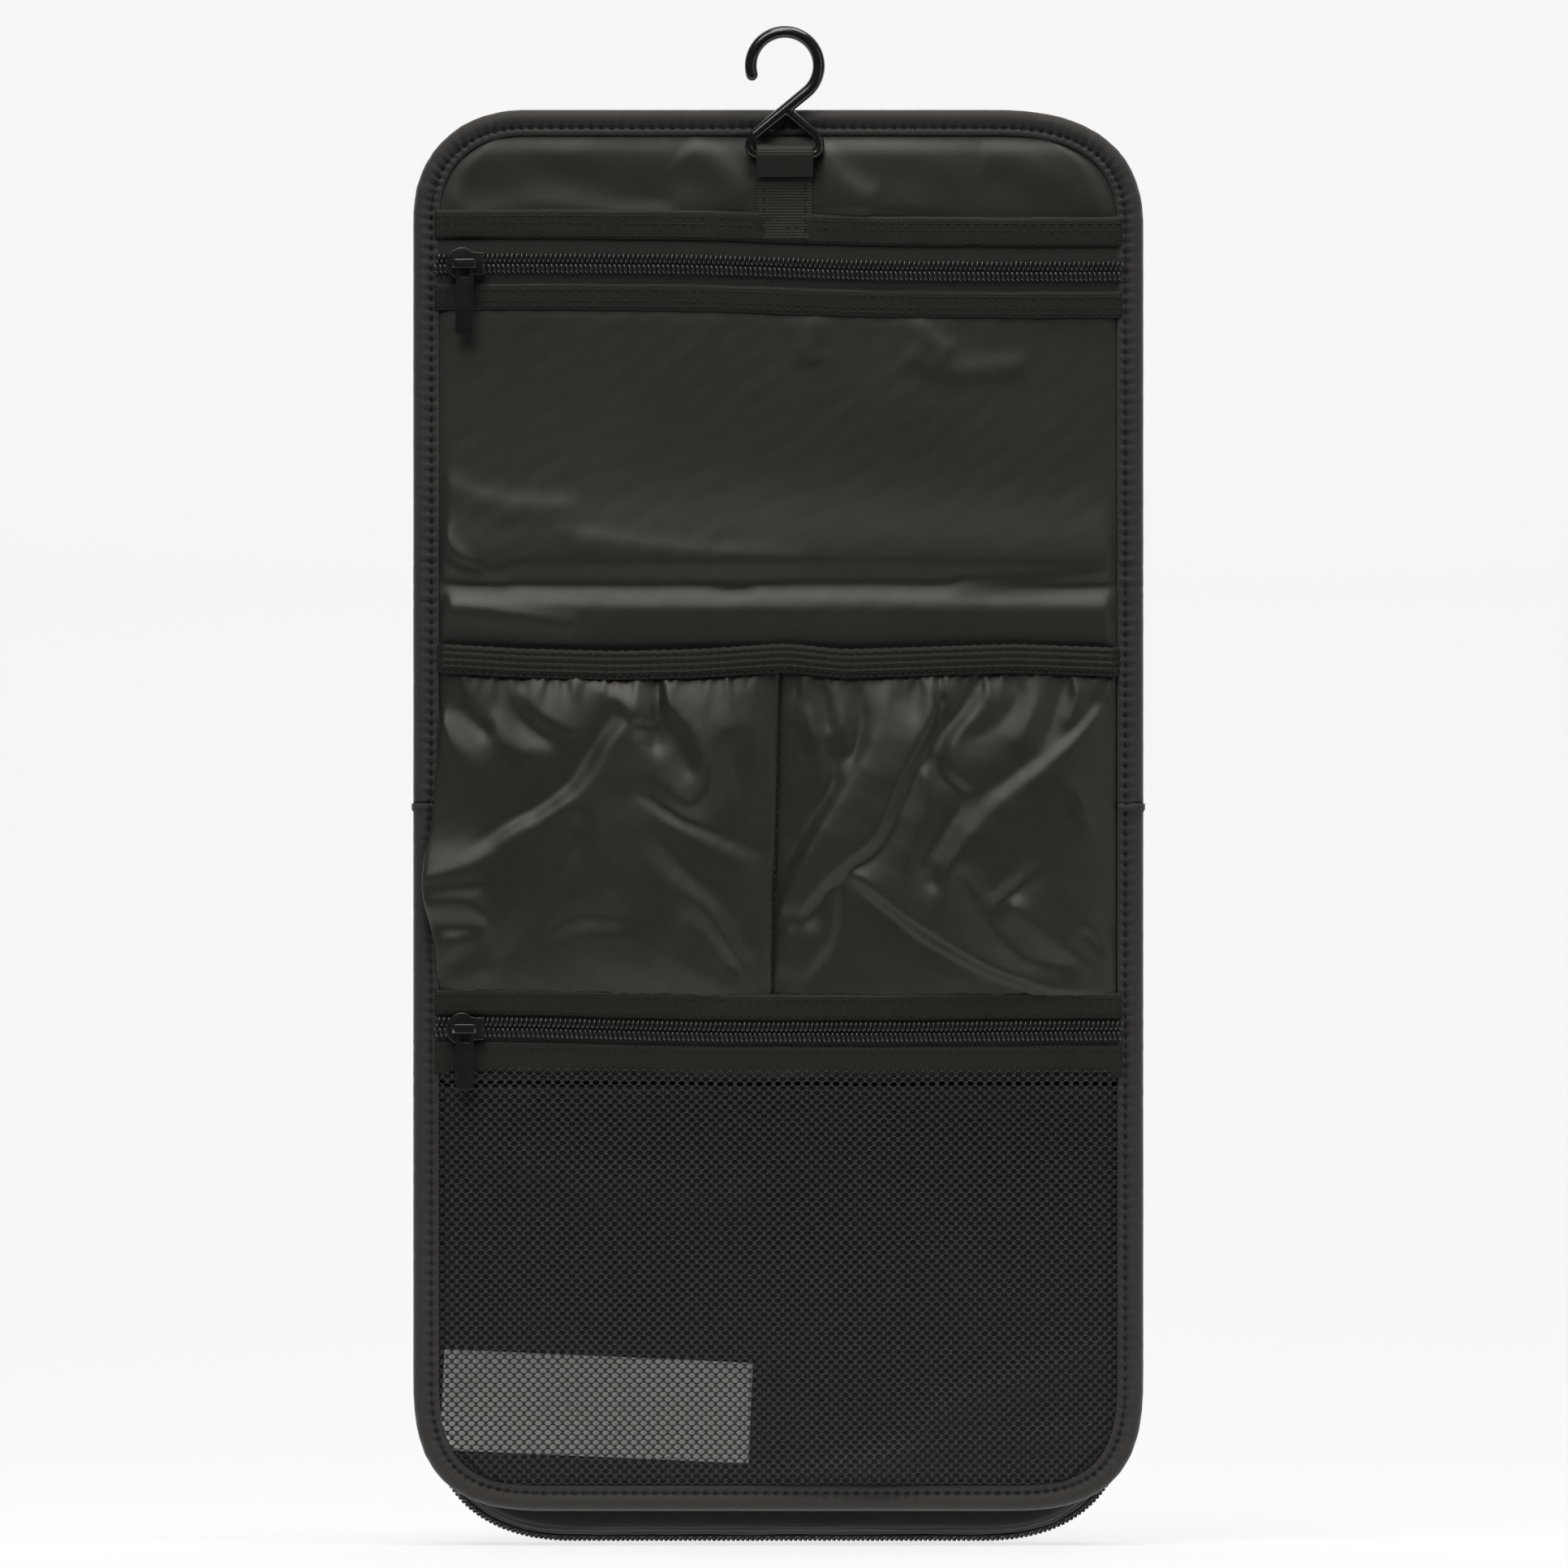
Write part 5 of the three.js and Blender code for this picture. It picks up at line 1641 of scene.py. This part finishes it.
class TOILETRYBAG_OT_elastic(bpy.types.Operator):
    """Makes the ribbed elastic casing that gathers the pockets"""

    bl_idname = "toiletrybag.elastic"
    bl_label = "Elastic casing"

    def execute(self, context):
        end = HALF - 6.9
        cols, rows = 520, 46
        x = np.linspace(MIDDLE - end, MIDDLE + end, cols)[None, :].repeat(rows, 0)
        share = np.linspace(0, 1, rows)[:, None]
        scallop = 0.28 * np.abs(np.sin((x - MIDDLE) * math.pi / 3.1 + 1.1 * waves(x, 0 * x, 101, 30)))
        z = elastic_top(x) + scallop * (1 - share) ** 2 - share * ELASTIC_HEIGHT
        ribs = 0.17 * np.cos(share * math.tau * 4.5)
        crimp = 0.16 * np.sin((x - MIDDLE) * math.tau / 2.7 + 2.0 * waves(x, 0 * x, 102,
                                                                          22)) * (0.35 + share)
        roll = 0.7 * np.abs(share * 2 - 1) ** 6
        seam = 0.35 * bump(share, 0.83, 0.035)
        ends = smooth((end - np.abs(x - MIDDLE)) / 3.0)
        deep = -3.9 + ribs + crimp + roll + seam + 2.6 * (1 - ends) + 0.35 * waves(x, z * 0.3, 103, 34)
        casing = cloth("elastic_casing", x, z, deep, 0.9, finish_named("ribbed elastic"))
        settle(casing, "middle_panel", "elastic", "pocket_elastic")
        stitch = stitch_unit(1.3, 0.5, 0.5)
        line = np.linspace(MIDDLE - end + 2, MIDDLE + end - 2, 300)
        row = np.stack([line, 0 * line - 3.95, elastic_top(line) - 0.83 * ELASTIC_HEIGHT], 1)
        sewn = repeated("elastic_stitches", [row], 0.0021, stitch, finish_named("sewing thread"), 0.15)
        bpy.data.objects.remove(stitch)
        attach(sewn, "middle_panel")
        return {"FINISHED"}


# ---- Net pocket and label ----------------------------------------------------


def net_deep(x, z):
    """Depth of the net, which lies over the lining in soft swells and sags at its foot."""
    u = x - MIDDLE
    lift = 1.0 + 0.7 * waves(u, z, 111, 60) + 0.25 * waves(u, z, 112, 22)
    lift += fold(u, z, [(20, -452), (50, -425), (104, -402)], 1.5, 5, 9)
    lift += fold(u, z, [(-10, -450), (30, -438), (100, -428)], 1.1, 4, 8)
    lift += fold(u, z, [(-104, -340), (-60, -352), (0, -356)], 0.7, 8)
    rise = smooth(edge_distance(x, z, 6.9) / 4.0)
    return -0.25 - (0.75 + np.maximum(lift, 0)) * rise


def cell_unit(across, down):
    """One cell of net: a lozenge with a rounded six-sided hole, open at its four meeting corners."""
    a, b = across / 2, down
    corners = [(-a, 0), (0, -b), (a, 0), (0, b)]
    hole_x, hole_z = 0.73 * a, 0.50 * b
    hole = [(-hole_x, 0), (-hole_x * 0.52, -hole_z), (hole_x * 0.52, -hole_z), (hole_x, 0),
            (hole_x * 0.52, hole_z), (-hole_x * 0.52, hole_z)]
    half = 0.16
    crown = 0.12
    points = [(x, 0 * x - half, z) for x, z in corners] + [(x, -half - crown, z) for x, z in hole]
    points += [(x, half, z) for x, z in corners] + [(x, half, z) for x, z in hole]
    ring = [(0, 1, 5, 4), (1, 6, 5), (1, 2, 7, 6), (2, 3, 8, 7), (3, 9, 8), (3, 0, 4, 9)]
    faces = [list(f) for f in ring] + [[i + 10 for i in f[::-1]] for f in ring]
    faces += [[4 + k, 4 + (k + 1) % 6, 14 + (k + 1) % 6, 14 + k] for k in range(6)]
    mesh = bpy.data.meshes.new("net_cell")
    mesh.from_pydata([tuple(c * MM for c in p) for p in points], [], faces)
    unit = bpy.data.objects.new("net_cell", mesh)
    bpy.context.scene.collection.objects.link(unit)
    unit.hide_render = True
    return unit


class TOILETRYBAG_OT_net(bpy.types.Operator):
    """Makes the knitted net of the lowest pocket"""

    bl_idname = "toiletrybag.net"
    bl_label = "Net pocket"

    def execute(self, context):
        net = settings().net
        across, down = net.pitch_across / MM, net.pitch_down / MM
        inset = 6.9
        top = lower_chain_line(np.array([MIDDLE]))[0] - 12.5
        low = BOTTOM + inset
        columns = int(2 * (HALF - inset) / across) + 2
        # An odd count puts every row on a whole multiple of the pitch about the middle.
        rows = int((top - low) / down / 2) * 2 + 3
        cell = cell_unit(across, down)
        start = bpy.data.objects.new("net_start", bpy.data.meshes.new("net_start"))
        bpy.context.scene.collection.objects.link(start)
        values = {
            "Width": (columns - 1) * across * MM, "Height": (rows - 1) * down * MM,
            "Pitch Across": across * MM, "Pitch Down": down * MM, "Columns": columns, "Rows": rows,
            "Cell": cell, "Finish": finish_named("knitted net"),
        }
        cloth_net = grown("net_cloth", start, net_tree(), values)
        bpy.data.objects.remove(cell)
        mesh = cloth_net.data
        co = np.zeros(len(mesh.vertices) * 3)
        mesh.vertices.foreach_get("co", co)
        co = co.reshape(-1, 3) / MM
        x, y, z = co[:, 0] + MIDDLE, co[:, 1], co[:, 2] + (top + low) / 2
        outside = (x < MIDDLE - half_width(z, -1, inset)) | (x > MIDDLE + half_width(z, 1,
                                                                                     inset)) | (z < low)
        x = x + 0.25 * waves(x, z, 113, 40)
        z = z + 0.35 * waves(x, z, 114, 55) - 0.8 * smooth((x - MIDDLE + 100) / 100) * bump(z, top, 14)
        y = y + net_deep(x, z) + LINING_FRONT
        co = np.stack([x, y, z], 1) * MM
        mesh.vertices.foreach_set("co", co.ravel())
        edit = bmesh.new()
        edit.from_mesh(mesh)
        edit.verts.ensure_lookup_table()
        cells = [v for v, gone in zip(edit.verts, outside) if gone]
        bmesh.ops.delete(edit, geom=cells, context="VERTS")
        rim = [e for e in edit.edges if len(e.link_faces) == 1]
        # The cut left small four-sided openings between the net's front and back.
        bmesh.ops.holes_fill(edit, edges=rim, sides=8)
        bmesh.ops.recalc_face_normals(edit, faces=edit.faces)
        edit.to_mesh(mesh)
        edit.free()
        blend_lower(cloth_net)
        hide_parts("net_pocket")
        return {"FINISHED"}


class TOILETRYBAG_OT_label(bpy.types.Operator):
    """Makes the blank white label that shows through the net"""

    bl_idname = "toiletrybag.label"
    bl_label = "Care label"

    def execute(self, context):
        low, high = span("care_label")
        cols, rows = 96, 34
        tilt = 0.044
        s = np.linspace(0, 1, cols)[None, :].repeat(rows, 0)
        t = np.linspace(0, 1, rows)[:, None].repeat(cols, 1)
        width, height = 95.0, 31.0
        centre_x, centre_z = low[0] + width / 2 + 0.4, (low[2] + high[2]) / 2
        du, dz = (s - 0.5) * width, (0.5 - t) * height
        x = centre_x + du * math.cos(tilt) + dz * math.sin(tilt)
        z = centre_z - du * math.sin(tilt) + dz * math.cos(tilt)
        inside = MIDDLE - half_width(z[:, 0], -1, 7.6)
        x = np.maximum(x, inside[:, None] + s * 0.4)
        lift = 0.25 + 0.12 * waves(x, z, 121, 30) + 0.22 * smooth((s - 0.93) / 0.07)
        label = cloth("care_label_cloth", x, z, -0.28 - lift, 0.12, finish_named("white label satin"))
        settle(label, "bag_body", "label", "care_label")
        return {"FINISHED"}


# ---- Hook and webbing --------------------------------------------------------


class TOILETRYBAG_OT_hook(bpy.types.Operator):
    """Makes the glossy hook: an open ring on a crossed leg with a triangular eye"""

    bl_idname = "toiletrybag.hook"
    bl_label = "Hook"

    def execute(self, context):
        high = span("hanging_hook")[1]
        thick_rod, leg_rod, thin_rod = 1.9, 1.78, 1.4
        radius = 10.45
        centre = high[2] - 1.8 - radius
        lean = 0.688
        tip, leave = math.pi * 1.085, lean - math.pi / 2
        deep = HOOK_DEEP
        arc = [(radius * math.cos(a), deep, centre + radius * math.sin(a)) for a in np.linspace(tip,
                                                                                                leave, 90)]
        leave_x, _, leave_z = arc[-1]
        slope = math.tan(lean)
        corner_x, corner_r = 10.6, 2.6
        cross_z = leave_z - (leave_x - 1.0) * slope
        left_top = (-corner_x + 1.2, leave_z - (leave_x + corner_x - 1.2) * slope)
        leg = [(x, deep, leave_z - (leave_x - x) * slope) for x in np.linspace(leave_x, left_top[0], 40)]
        corners = [
            (left_top, None),
            ((-corner_x - 0.6, BAR_Z + 2.4), 1),
            ((-corner_x + 0.9, BAR_Z), 1),
            ((corner_x - 0.9, BAR_Z), 1),
            ((corner_x + 0.5, BAR_Z + 2.6), 1),
            ((corner_x - 0.5, BAR_Z + 5.4), 1),
            ((0.9, cross_z - 1.3), None),
        ]
        eye = np.array([c for c, _ in corners], float)
        line = resampled(rounded(eye, corner_r), 0.5)
        eye_line = np.stack([line[:, 0], 0 * line[:, 0] + deep, line[:, 1]], 1)
        legs = np.linspace(0, 1, len(leg))
        parts = [
            rod(np.array(arc), thick_rod),
            rod(np.array(leg), thick_rod + (leg_rod - thick_rod) * legs),
            rod(eye_line, thin_rod + (leg_rod - thin_rod) * np.exp(-np.linspace(0, 20, len(eye_line)))),
        ]
        points, faces = joined(parts)
        hook = to_object("hook_moulding", points + (0, LINING_FRONT, 0), faces,
                         finish_named("glossy hook plastic"))
        remesh = {"mode": "VOXEL", "voxel_size": 0.27 * MM, "use_smooth_shade": True}
        finished(hook, ("REMESH", remesh), ("SMOOTH", {"factor": 0.5, "iterations": 4}))
        if not hook.data.materials:
            hook.data.materials.append(finish_named("glossy hook plastic"))
        settle(hook, "hook", "hook_plastic", "hanging_hook")
        return {"FINISHED"}


def rounded(points, radius):
    """A polyline whose corners are turned into short bends."""
    line = [points[0]]
    for before, corner, after in zip(points[:-2], points[1:-1], points[2:]):
        back, on = before - corner, after - corner
        reach = min(radius, np.linalg.norm(back) * 0.45, np.linalg.norm(on) * 0.45)
        start = corner + back / np.linalg.norm(back) * reach
        stop = corner + on / np.linalg.norm(on) * reach
        for t in np.linspace(0, 1, 9):
            line.append((1 - t) ** 2 * start + 2 * t * (1 - t) * corner + t**2 * stop)
    return np.array([*line, points[-1]])


class TOILETRYBAG_OT_strap(bpy.types.Operator):
    """Makes the webbing loop that holds the hook, with its folded flap and stitches"""

    bl_idname = "toiletrybag.strap"
    bl_label = "Webbing loop"

    def execute(self, context):
        low, high = span("hanging_strap")
        centre, half = (low[0] + high[0]) / 2, (high[0] - low[0]) / 2
        foot = top_chain_line(np.array([centre]))[0] + 8.5
        bar, wrap = HOOK_DEEP, 2.2
        turn = [(bar - wrap * math.sin(a), BAR_Z + wrap * math.cos(a)) for a in np.linspace(-1.45, 1.9, 16)]
        route = [(-1.9, foot), (-1.9, BAR_Z - 8), (-1.7, BAR_Z - 3.4), *turn, (-4.6, BAR_Z - 3.4),
                 (-2.95, BAR_Z - 6.4), (-2.9, BAR_Z - 7.2)]
        line = resampled(curved(route, 6), 0.45)
        line = line[::-1]
        across = np.linspace(-1, 1, 44)[None, :]
        along = np.linspace(0, 1, len(line))[:, None]
        side = half + 0.12 * waves(along * 60, 0 * along, 131, 9)
        x = centre + across * side
        y = line[:, 0][:, None] + 0.25 * np.abs(across) ** 8 + 0.05 * waves(x, along * 60, 132, 6)
        z = line[:, 1][:, None] + 0 * x
        grid = np.stack([x, y + LINING_FRONT, z], -1)
        strap = shell("hook_webbing_loop", grid, 0.85, finish_named("hook webbing"))
        settle(strap, "top_panel", "webbing", "hanging_strap")
        stitch = stitch_unit(2.0, 0.45, 0.4)
        rows = []
        for edge in (-half + 2.2, half - 2.2):
            z = np.linspace(BAR_Z - 5.0, foot, 30)
            front = np.where(z < BAR_Z - 7.0, -2.0, -3.1)
            rows.append(np.stack([0 * z + centre + edge, front - 0.1, z], 1))
        x = np.linspace(-half + 2, half - 2, 12) + centre
        rows.append(np.stack([x, 0 * x - 3.05, 0 * x + BAR_Z - 6.2], 1))
        sewn = repeated("strap_stitches", rows, 0.0029, stitch, finish_named("sewing thread"))
        bpy.data.objects.remove(stitch)
        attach(sewn, "top_panel")
        return {"FINISHED"}


# ---- Compartment -------------------------------------------------------------


def wall_shape(seed, depth=0.25):
    """Soft unevenness of the compartment's walls."""

    def shape(along, points, n, y):
        relief = depth * waves(along + 0 * y, y * 3, seed, 22) + 0.5 * depth * waves(along + 0 * y, y * 2,
                                                                                     seed + 1, 7)
        return n + relief, y

    return shape


def wall_section(outside, thickness):
    """A closed section from its outer line of (inward, deep) points."""
    line = resampled(curved(outside, 6), 0.7)
    return np.vstack([line, (line + (thickness, 0))[::-1]])


class TOILETRYBAG_OT_compartment(bpy.types.Operator):
    """Makes the walls, zip, piping and rear cover of the zip-round compartment"""

    bl_idname = "toiletrybag.compartment"
    bl_label = "Compartment"

    def execute(self, context):
        cover = finish_named("nylon cover cloth")
        edge = resampled(box_edge(), 1.6)
        edge = np.vstack([edge[:-1], edge[:1]])
        front_deep = GUSSET_LOW[1] - LINING_FRONT
        seam = ZIP_SEAM_DEEP
        back = BOX_BACK_DEEP
        front_line = [
            (8.7, front_deep), (6.8, front_deep + 0.5), (5.0, front_deep + 0.9), (3.6, front_deep + 2.3),
            (3.3, front_deep + 3.4), (3.5, front_deep + 4.0), (2.5, front_deep + 5.6),
            (1.9, front_deep + 8.5), (2.0, front_deep + 9.2),
            (1.2, front_deep + 10.6), (0.9, seam - 4.6),
        ]
        uneven = wall_shape(141)
        foot_height, foot_fade, lip = 46, 24, 4.2

        def turned_in(along, points, n, y):
            """The wall's front edge turns in to the panel's foot, which ends above the compartment's."""
            n, y = uneven(along, points, n, y)
            foot = smooth((BOX_BOTTOM + foot_height - points[:, 1:]) / foot_fade)
            return n + lip * foot * smooth((front_deep + 1.0 - y) / 0.9), y

        wall = swept("front_gusset_cloth", edge, wall_section(front_line, 0.6), cover, turned_in,
                     closed=True)
        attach(wall, "bag_body")
        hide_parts("front_gusset")
        rear_line = [(0.9, seam + 4.6), (0.7, seam + 8), (0.9, seam + 12), (1.5, back - 2.9)]
        rear = swept("rear_gusset_cloth", edge, wall_section(rear_line, 0.6), cover, wall_shape(142),
                     closed=True)
        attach(rear, "lid")
        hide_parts("rear_gusset")
        self.make_piping(edge, back)
        self.make_rear_cover(back, cover)
        self.make_zip(seam)
        return {"FINISHED"}

    def make_piping(self, edge, back):
        """A corded piping round the rear cover."""
        angles = np.linspace(0, math.tau, 12, endpoint=False)
        section = np.stack([1.1 + 1.25 * np.cos(angles), back - 1.7 + 1.2 * np.sin(angles)], 1)
        piping = swept("rear_piping_cord", edge, section, finish_named("soft binding cloth"),
                       wall_shape(143, 0.08), True)
        settle(piping, "lid", "binding", "rear_piping")

    def make_rear_cover(self, back, cover):
        """The compartment's back and its lining, both slightly crowned."""
        a, up, power = BOX_CORNER
        for name, node, inset, deep, crown, size, material, slot in (
            ("rear_cover_cloth", "rear_cover", 1.6, back - 1.2, 1.1, 0.5, cover, "cover"),
            ("rear_lining_cloth", "rear_lining", 2.4, back - 2.6, 0.7, 0.35,
             finish_named("satin twill lining"), "lining"),
        ):
            half, top, low = BOX_HALF - inset, BOX_TOP - inset, BOX_BOTTOM + inset
            rows, cols = 84, 130
            z = top + (low - top) * (0.5 - 0.5 * np.cos(np.linspace(0, math.pi, rows)))
            lower = np.clip((low + up - z) / up, 0, 1)
            upper = np.clip((z - top + BOX_TOP_CORNER[1]) / BOX_TOP_CORNER[1], 0, 1)
            width = half - (a - inset) * (1 - (1 - lower**power) ** (1 / power))
            width -= (BOX_TOP_CORNER[0] - inset) * (1 - np.sqrt(1 - upper**2))
            across = np.linspace(-1, 1, cols)[None, :]
            x = MIDDLE + width[:, None] * across
            z = np.repeat(z[:, None], cols, 1)
            middle = (1 - np.abs(across) ** 5) * (1 - np.abs(2 * (z - top) / (low - top) - 1) ** 5)
            y = deep + crown * middle + 0.3 * middle * waves(x, z, 144, 60) + 0.10 * waves(x, z, 145, 14)
            grid = np.stack([x, y + LINING_FRONT, z], -1)
            sheet = shell(name, grid, size, material)
            settle(sheet, "lid", slot, node)

    def make_zip(self, seam):
        """The zip round the compartment: two tapes and two rows of coil that face outwards."""
        path = box_edge(0.0, closed=False)
        top = span("main_zip_front_half")[1][2]
        path = np.vstack([[path[0][0], top], path, [path[-1][0], top]])
        path = resampled(path, 1.2)
        into = inward(path)
        names = ("nylon coil", "herringbone zip tape", "sewing thread")
        coil, tape, thread = (finish_named(name) for name in names)
        stitch = stitch_unit(1.9, 0.4, 0.4)
        for label, side, body, node in (
            ("front", -1, "bag_body", "main_zip_front_half"),
            ("rear", 1, "lid", "main_zip_rear_half"),
        ):
            near, far = sorted((seam + side * 0.2, seam + side * 4.9))
            section = [(0.1, near), (0.0, (near + far) / 2), (0.2, far), (0.7, far), (0.7, near)]
            strip = swept(f"main_zip_{label}_tape", path, section, tape)
            settle(strip, body, "zip", node)
            line = path + into * -0.45
            tooth = tooth_unit(side, sideways=True)
            teeth_line = np.stack([line[:, 0], 0 * line[:, 0] + seam, line[:, 1]], 1)
            teeth = repeated(f"main_zip_{label}_coil", [teeth_line], settings().zips.tooth_pitch, tooth,
                             coil, 0.03)
            bpy.data.objects.remove(tooth)
            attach(teeth, body)
            line = path + into * -0.12
            row = np.stack([line[:, 0], 0 * line[:, 0] + seam + side * 4.2, line[:, 1]], 1)
            sewn = repeated(f"main_zip_{label}_stitches", [row], 0.003, stitch, thread)
            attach(sewn, body)
        bpy.data.objects.remove(stitch)


# ---- Stage -------------------------------------------------------------------


def soft_light(name, place, target, size, power):
    lamp = bpy.data.lights.new(name, "AREA")
    lamp.shape = "RECTANGLE"
    lamp.size, lamp.size_y = size
    lamp.energy = power
    light = bpy.data.objects.new(name, lamp)
    bpy.context.scene.collection.objects.link(light)
    light.location = place
    light.rotation_euler = (Vector(target) - Vector(place)).to_track_quat("-Z", "Y").to_euler()
    return light


def seen_from_behind(material):
    """Lets a camera behind the paper look through its back."""
    tree = material.node_tree
    shader = next(node for node in tree.nodes if node.type == "BSDF_PRINCIPLED")
    side = tree.nodes.new("ShaderNodeNewGeometry")
    front = tree.nodes.new("ShaderNodeMath")
    front.operation = "SUBTRACT"
    front.inputs[0].default_value = 1.0
    tree.links.new(side.outputs["Backfacing"], front.inputs[1])
    tree.links.new(front.outputs["Value"], shader.inputs["Alpha"])


class TOILETRYBAG_OT_stage(bpy.types.Operator):
    """Makes the pale floor and backdrop, the soft lights and the camera"""

    bl_idname = "toiletrybag.stage"
    bl_label = "Studio"

    def execute(self, context):
        floor_z = (BOX_BOTTOM - 1.2) * MM
        sweep = [(-0.3, 0.0), (0.5, 0.0), (0.75, 0.02), (0.95, 0.1), (1.1, 0.28), (1.15, 0.6), (1.15, 3.0)]
        line = resampled(curved(sweep, 10), 0.05)
        half = 2.5
        points = [(x, y, floor_z + z) for y, z in line for x in (-half, half)]
        faces = [(2 * k, 2 * k + 1, 2 * k + 3, 2 * k + 2) for k in range(len(line) - 1)]
        paper = Finish("pale paper sweep", (0.25, 0.25, 0.25, 1), 0.9, specular=0.1)
        paper.set("Emission Color", (1.0, 1.0, 0.995, 1))
        paper.set("Emission Strength", 0.73)
        wear = paper.group(wear_group(), Patch_Scale=2.0)
        paper.shaded(wear.outputs["Patches"], 0.99, 1.01)
        seen_from_behind(paper.material)
        mesh = bpy.data.meshes.new("paper_sweep")
        mesh.from_pydata(points, [], faces)
        mesh.polygons.foreach_set("use_smooth", [True] * len(mesh.polygons))
        mesh.materials.append(paper.material)
        sweep_object = bpy.data.objects.new("paper_sweep", mesh)
        context.scene.collection.objects.link(sweep_object)

        centre = (MIDDLE * MM, 0.0, (TOP + BOTTOM) / 2 * MM)
        soft_light("key_softbox", (-0.45, -1.25, 1.05), centre, (1.1, 0.7), 12)
        soft_light("top_softbox", (0.15, -0.45, 1.25), centre, (1.3, 0.5), 16)
        soft_light("right_fill", (1.5, -1.2, 0.1), centre, (0.7, 1.4), 3)
        soft_light("backdrop_light", (0.0, 0.35, 1.7), (0.0, 1.15, 0.1), (2.4, 0.5), 4)
        world = bpy.data.worlds.new("studio air")
        world.use_nodes = True
        air = world.node_tree
        glow = air.nodes["Background"]
        glow.inputs["Color"].default_value = (1, 1, 1, 1)
        glow.inputs["Strength"].default_value = 0.03
        pale = air.nodes.new("ShaderNodeBackground")
        pale.inputs["Color"].default_value = (1, 1, 0.995, 1)
        pale.inputs["Strength"].default_value = 0.9
        path = air.nodes.new("ShaderNodeLightPath")
        both = air.nodes.new("ShaderNodeMixShader")
        air.links.new(path.outputs["Is Camera Ray"], both.inputs["Fac"])
        air.links.new(glow.outputs["Background"], both.inputs[1])
        air.links.new(pale.outputs["Background"], both.inputs[2])
        air.links.new(both.outputs["Shader"], air.nodes["World Output"].inputs["Surface"])
        context.scene.world = world

        studio = settings().studio
        lens = bpy.data.cameras.new("camera")
        lens.sensor_width = 36
        lens.lens = lens.sensor_width * studio.camera_distance / studio.view_width
        lens.clip_end = 20
        camera = bpy.data.objects.new("camera", lens)
        context.scene.collection.objects.link(camera)
        view_middle = ((MIDDLE + 1.75) * MM, (HOOK_DEEP + 8.2) * MM, (TOP - 207.3) * MM)
        camera.location = (view_middle[0], -studio.camera_distance, view_middle[2])
        camera.rotation_euler = (math.pi / 2, 0, 0)
        context.scene.camera = camera
        context.scene.view_settings.view_transform = "Standard"
        return {"FINISHED"}


# ---- Panel and main ----------------------------------------------------------


OPERATORS = (
    TOILETRYBAG_OT_stage,
    TOILETRYBAG_OT_inner_layers,
    TOILETRYBAG_OT_outer_cover,
    TOILETRYBAG_OT_top_cloths,
    TOILETRYBAG_OT_edge_binding,
    TOILETRYBAG_OT_front_zips,
    TOILETRYBAG_OT_sliders,
    TOILETRYBAG_OT_gathered_pockets,
    TOILETRYBAG_OT_elastic,
    TOILETRYBAG_OT_net,
    TOILETRYBAG_OT_label,
    TOILETRYBAG_OT_hook,
    TOILETRYBAG_OT_strap,
    TOILETRYBAG_OT_compartment,
)


class TOILETRYBAG_PT_parts(bpy.types.Panel):
    bl_idname = "TOILETRYBAG_PT_parts"
    bl_label = "Toiletry Bag"
    bl_space_type = "VIEW_3D"
    bl_region_type = "UI"
    bl_category = "Toiletry Bag"

    def draw(self, context):
        bag = context.scene.toiletry_bag
        for group in (bag.cloth, bag.binding, bag.zips, bag.net, bag.studio):
            box = self.layout.box()
            for key in group.__annotations__:
                box.prop(group, key)
        for operator in OPERATORS:
            self.layout.operator(operator.bl_idname)


CLASSES = (ClothSettings, BindingSettings, ZipSettings, NetSettings, StudioSettings, BagSettings,
           *OPERATORS,
           TOILETRYBAG_PT_parts)


def register():
    for cls in CLASSES:
        bpy.utils.register_class(cls)
    bpy.types.Scene.toiletry_bag = PointerProperty(type=BagSettings)


def unregister():
    del bpy.types.Scene.toiletry_bag
    for cls in reversed(CLASSES):
        bpy.utils.unregister_class(cls)


def main():
    register()
    for operator in OPERATORS:
        group, name = operator.bl_idname.split(".")
        getattr(getattr(bpy.ops, group), name)()


if __name__ == "__main__":
    main()
